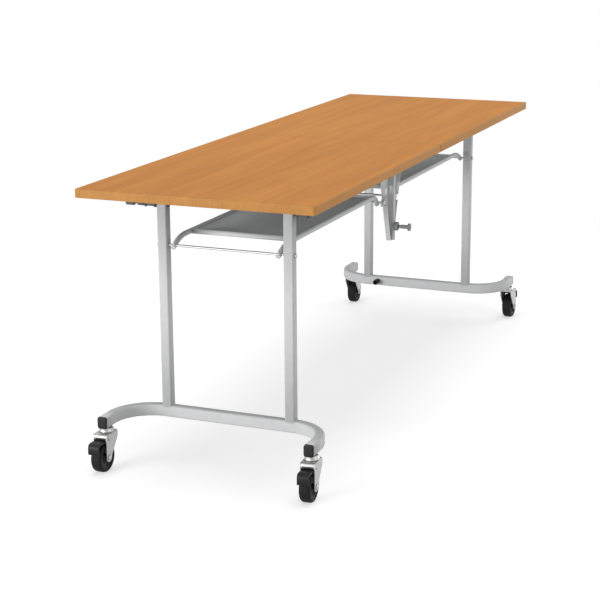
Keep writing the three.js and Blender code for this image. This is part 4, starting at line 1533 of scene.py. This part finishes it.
@dataclass(frozen=True)
class Softbox:
    """A large area light aimed at the table."""

    name: str
    place: Triple
    size: Pair
    power: float
    target: Triple = (0.0, 0.0, 0.45)

    def build(self) -> None:
        """Adds the light."""
        light = bpy.data.lights.new(self.name, "AREA")
        light.shape = "RECTANGLE"
        light.size, light.size_y = self.size
        light.energy = self.power
        lamp = bpy.data.objects.new(self.name, light)
        lamp.location = self.place
        lamp.rotation_euler = (Vector(self.target) - lamp.location).to_track_quat("-Z", "Y").to_euler()
        bpy.context.scene.collection.objects.link(lamp)


@dataclass
class Studio:
    """Floor, white surroundings, soft lights and the camera."""

    camera_place: Triple = (-4.0828, -1.5850, 1.3909)
    yaw: float = math.radians(22.54)
    pitch: float = math.radians(14.69)
    roll: float = math.radians(-0.38)
    lens: float = 96.47
    sight: float = 100.0
    surround: float = 0.38
    floor_colour: float = 0.65
    floor_glow: float = 0.54
    floor_clear: Pair = (1.1, 2.6)
    floor_rings: tuple[float, ...] = (0.001, 1.0, 2.0, 4.0, 12.0)
    floor_steps: int = 64
    softboxes: tuple[Softbox, ...] = (
        Softbox("key", place=(-6.0, 3.2, 0.9), size=(4.0, 1.6), power=315.0),
        Softbox("top", place=(0.0, 0.0, 5.0), size=(4.0, 3.0), power=118.0),
        Softbox("fill", place=(-2.0, -6.0, 2.4), size=(4.0, 3.0), power=70.0),
        Softbox("side", place=(5.5, -4.5, 1.2), size=(4.0, 2.0), power=115.0),
    )

    def build(self) -> None:
        """Everything around the table."""
        self.build_floor()
        self.build_surround()
        self.build_camera()
        for softbox in self.softboxes:
            softbox.build()

    def build_floor(self) -> None:
        """A pale round floor under the wheels: a grid of angle and radius, (r cos u, r sin u, 0)."""
        radius = np.array(self.floor_rings)[:, None]
        x, y = np.moveaxis(radius[None] * circle(1.0, self.floor_steps)[:, None], -1, 0)
        index = np.arange(x.size).reshape(x.shape)
        across = np.roll(index, -1, axis=0)
        quads = np.stack([index[:, :-1], index[:, 1:], across[:, 1:], across[:, :-1]], axis=-1).reshape(-1, 4)
        points = np.stack([x, y, np.zeros_like(x)], axis=-1).reshape(-1, 3)
        mesh = bpy.data.meshes.new("floor")
        mesh.from_pydata(points.tolist(), [], quads.tolist() + [index[:, 0].tolist()])
        mesh.materials.append(self.floor_material())
        floor = bpy.data.objects.new("floor", mesh)
        bpy.context.scene.collection.objects.link(floor)

    def floor_material(self) -> bpy.types.Material:
        """Matt floor that takes the shadow, lifted towards white where it is looked at, all white far out.

        Returns:
            The material.
        """
        material = bpy.data.materials.new("floor")
        material.use_nodes = True
        nodes = NodeSet(material.node_tree)
        material.node_tree.nodes.remove(material.node_tree.nodes["Principled BSDF"])
        matt = nodes.add("BsdfDiffuse", {"Color": (*[self.floor_colour] * 3, 1)}).outputs["BSDF"]
        lifted = nodes.add("AddShader", {0: matt, 1: nodes.glow(self.floor_glow)}).outputs["Shader"]
        distance = nodes.add("VectorMath", {0: nodes.coordinates()}, operation="LENGTH").outputs["Value"]
        start, end = self.floor_clear
        span = {"Value": distance, "From Min": start, "From Max": end}
        outward = nodes.add("MapRange", span, interpolation_type="SMOOTHSTEP").outputs["Result"]
        seen = nodes.mixed(outward, lifted, nodes.glow(1.0))
        whole = nodes.mixed(nodes.looked_at(), matt, seen)
        nodes.feed(material.node_tree.nodes["Material Output"], {"Surface": whole})
        return material

    def build_surround(self) -> None:
        """White where it is looked at, softer as a light."""
        world = bpy.data.worlds.new("surround")
        bpy.context.scene.world = world
        world.use_nodes = True
        nodes = NodeSet(world.node_tree)
        white = {"Color": (1, 1, 1, 1)}
        seen = world.node_tree.nodes["Background"]
        nodes.feed(seen, {**white, "Strength": 1.0})
        lit = nodes.add("Background", {**white, "Strength": self.surround}).outputs["Background"]
        whole = nodes.mixed(nodes.looked_at(), lit, seen.outputs["Background"])
        nodes.feed(world.node_tree.nodes["World Output"], {"Surface": whole})

    def build_camera(self) -> None:
        """Camera at the photograph's angle."""
        cy, sy, cp, sp = math.cos(self.yaw), math.sin(self.yaw), math.cos(self.pitch), math.sin(self.pitch)
        forward = Vector((cy * cp, sy * cp, -sp))
        right = Vector((sy, -cy, 0.0))
        turn = Matrix((right, right.cross(forward), -forward)).transposed().to_4x4()
        data = bpy.data.cameras.new("camera")
        data.lens = self.lens
        data.clip_end = self.sight
        camera = bpy.data.objects.new("camera", data)
        tilt = Matrix.Rotation(self.roll, 4, "Z")
        camera.matrix_world = Matrix.Translation(self.camera_place) @ turn @ tilt
        bpy.context.scene.collection.objects.link(camera)
        bpy.context.scene.camera = camera


@dataclass
class TrainingTable:
    """The whole table: the frame's nodes with their finishes and the smooth pieces on them."""

    stem_x: float = 0.846
    stem_y: float = 0.269
    parked: float = math.radians(4)

    def casters(self) -> list[CasterLooks]:
        """A caster under each end of both bases. One on each base stands a little turned.

        Returns:
            The four casters.
        """
        made = []
        for end in End:
            for side in SIDES:
                stem = (-end.sign * self.stem_x, end.sign * side * self.stem_y)
                angle = (self.parked if side < 0 else 0.0) + (0.0 if end is End.LEFT else math.pi)
                made.append(CasterLooks(f"{end.value}_{end.side_name(side)}", stem, angle))
        return made

    def build(self) -> None:
        """Dresses the frame and adds every sub-assembly."""
        dresser = Dresser()
        dresser.dress_frame()
        fixed = [TopEdge(), BracketLooks(), LegLooks(), ShelfLooks(), HangerLooks(), LockLooks()]
        for assembly in [*fixed, *self.casters()]:
            assembly.build(dresser)
            LOG.info("%s done", type(assembly).__name__)


def main() -> None:
    """Builds the table and its stage."""
    logging.basicConfig(level=logging.INFO, format="%(name)s: %(message)s")
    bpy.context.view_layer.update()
    TrainingTable().build()
    Studio().build()
    bpy.context.scene.view_settings.view_transform = "Standard"


if __name__ == "__main__":
    main()
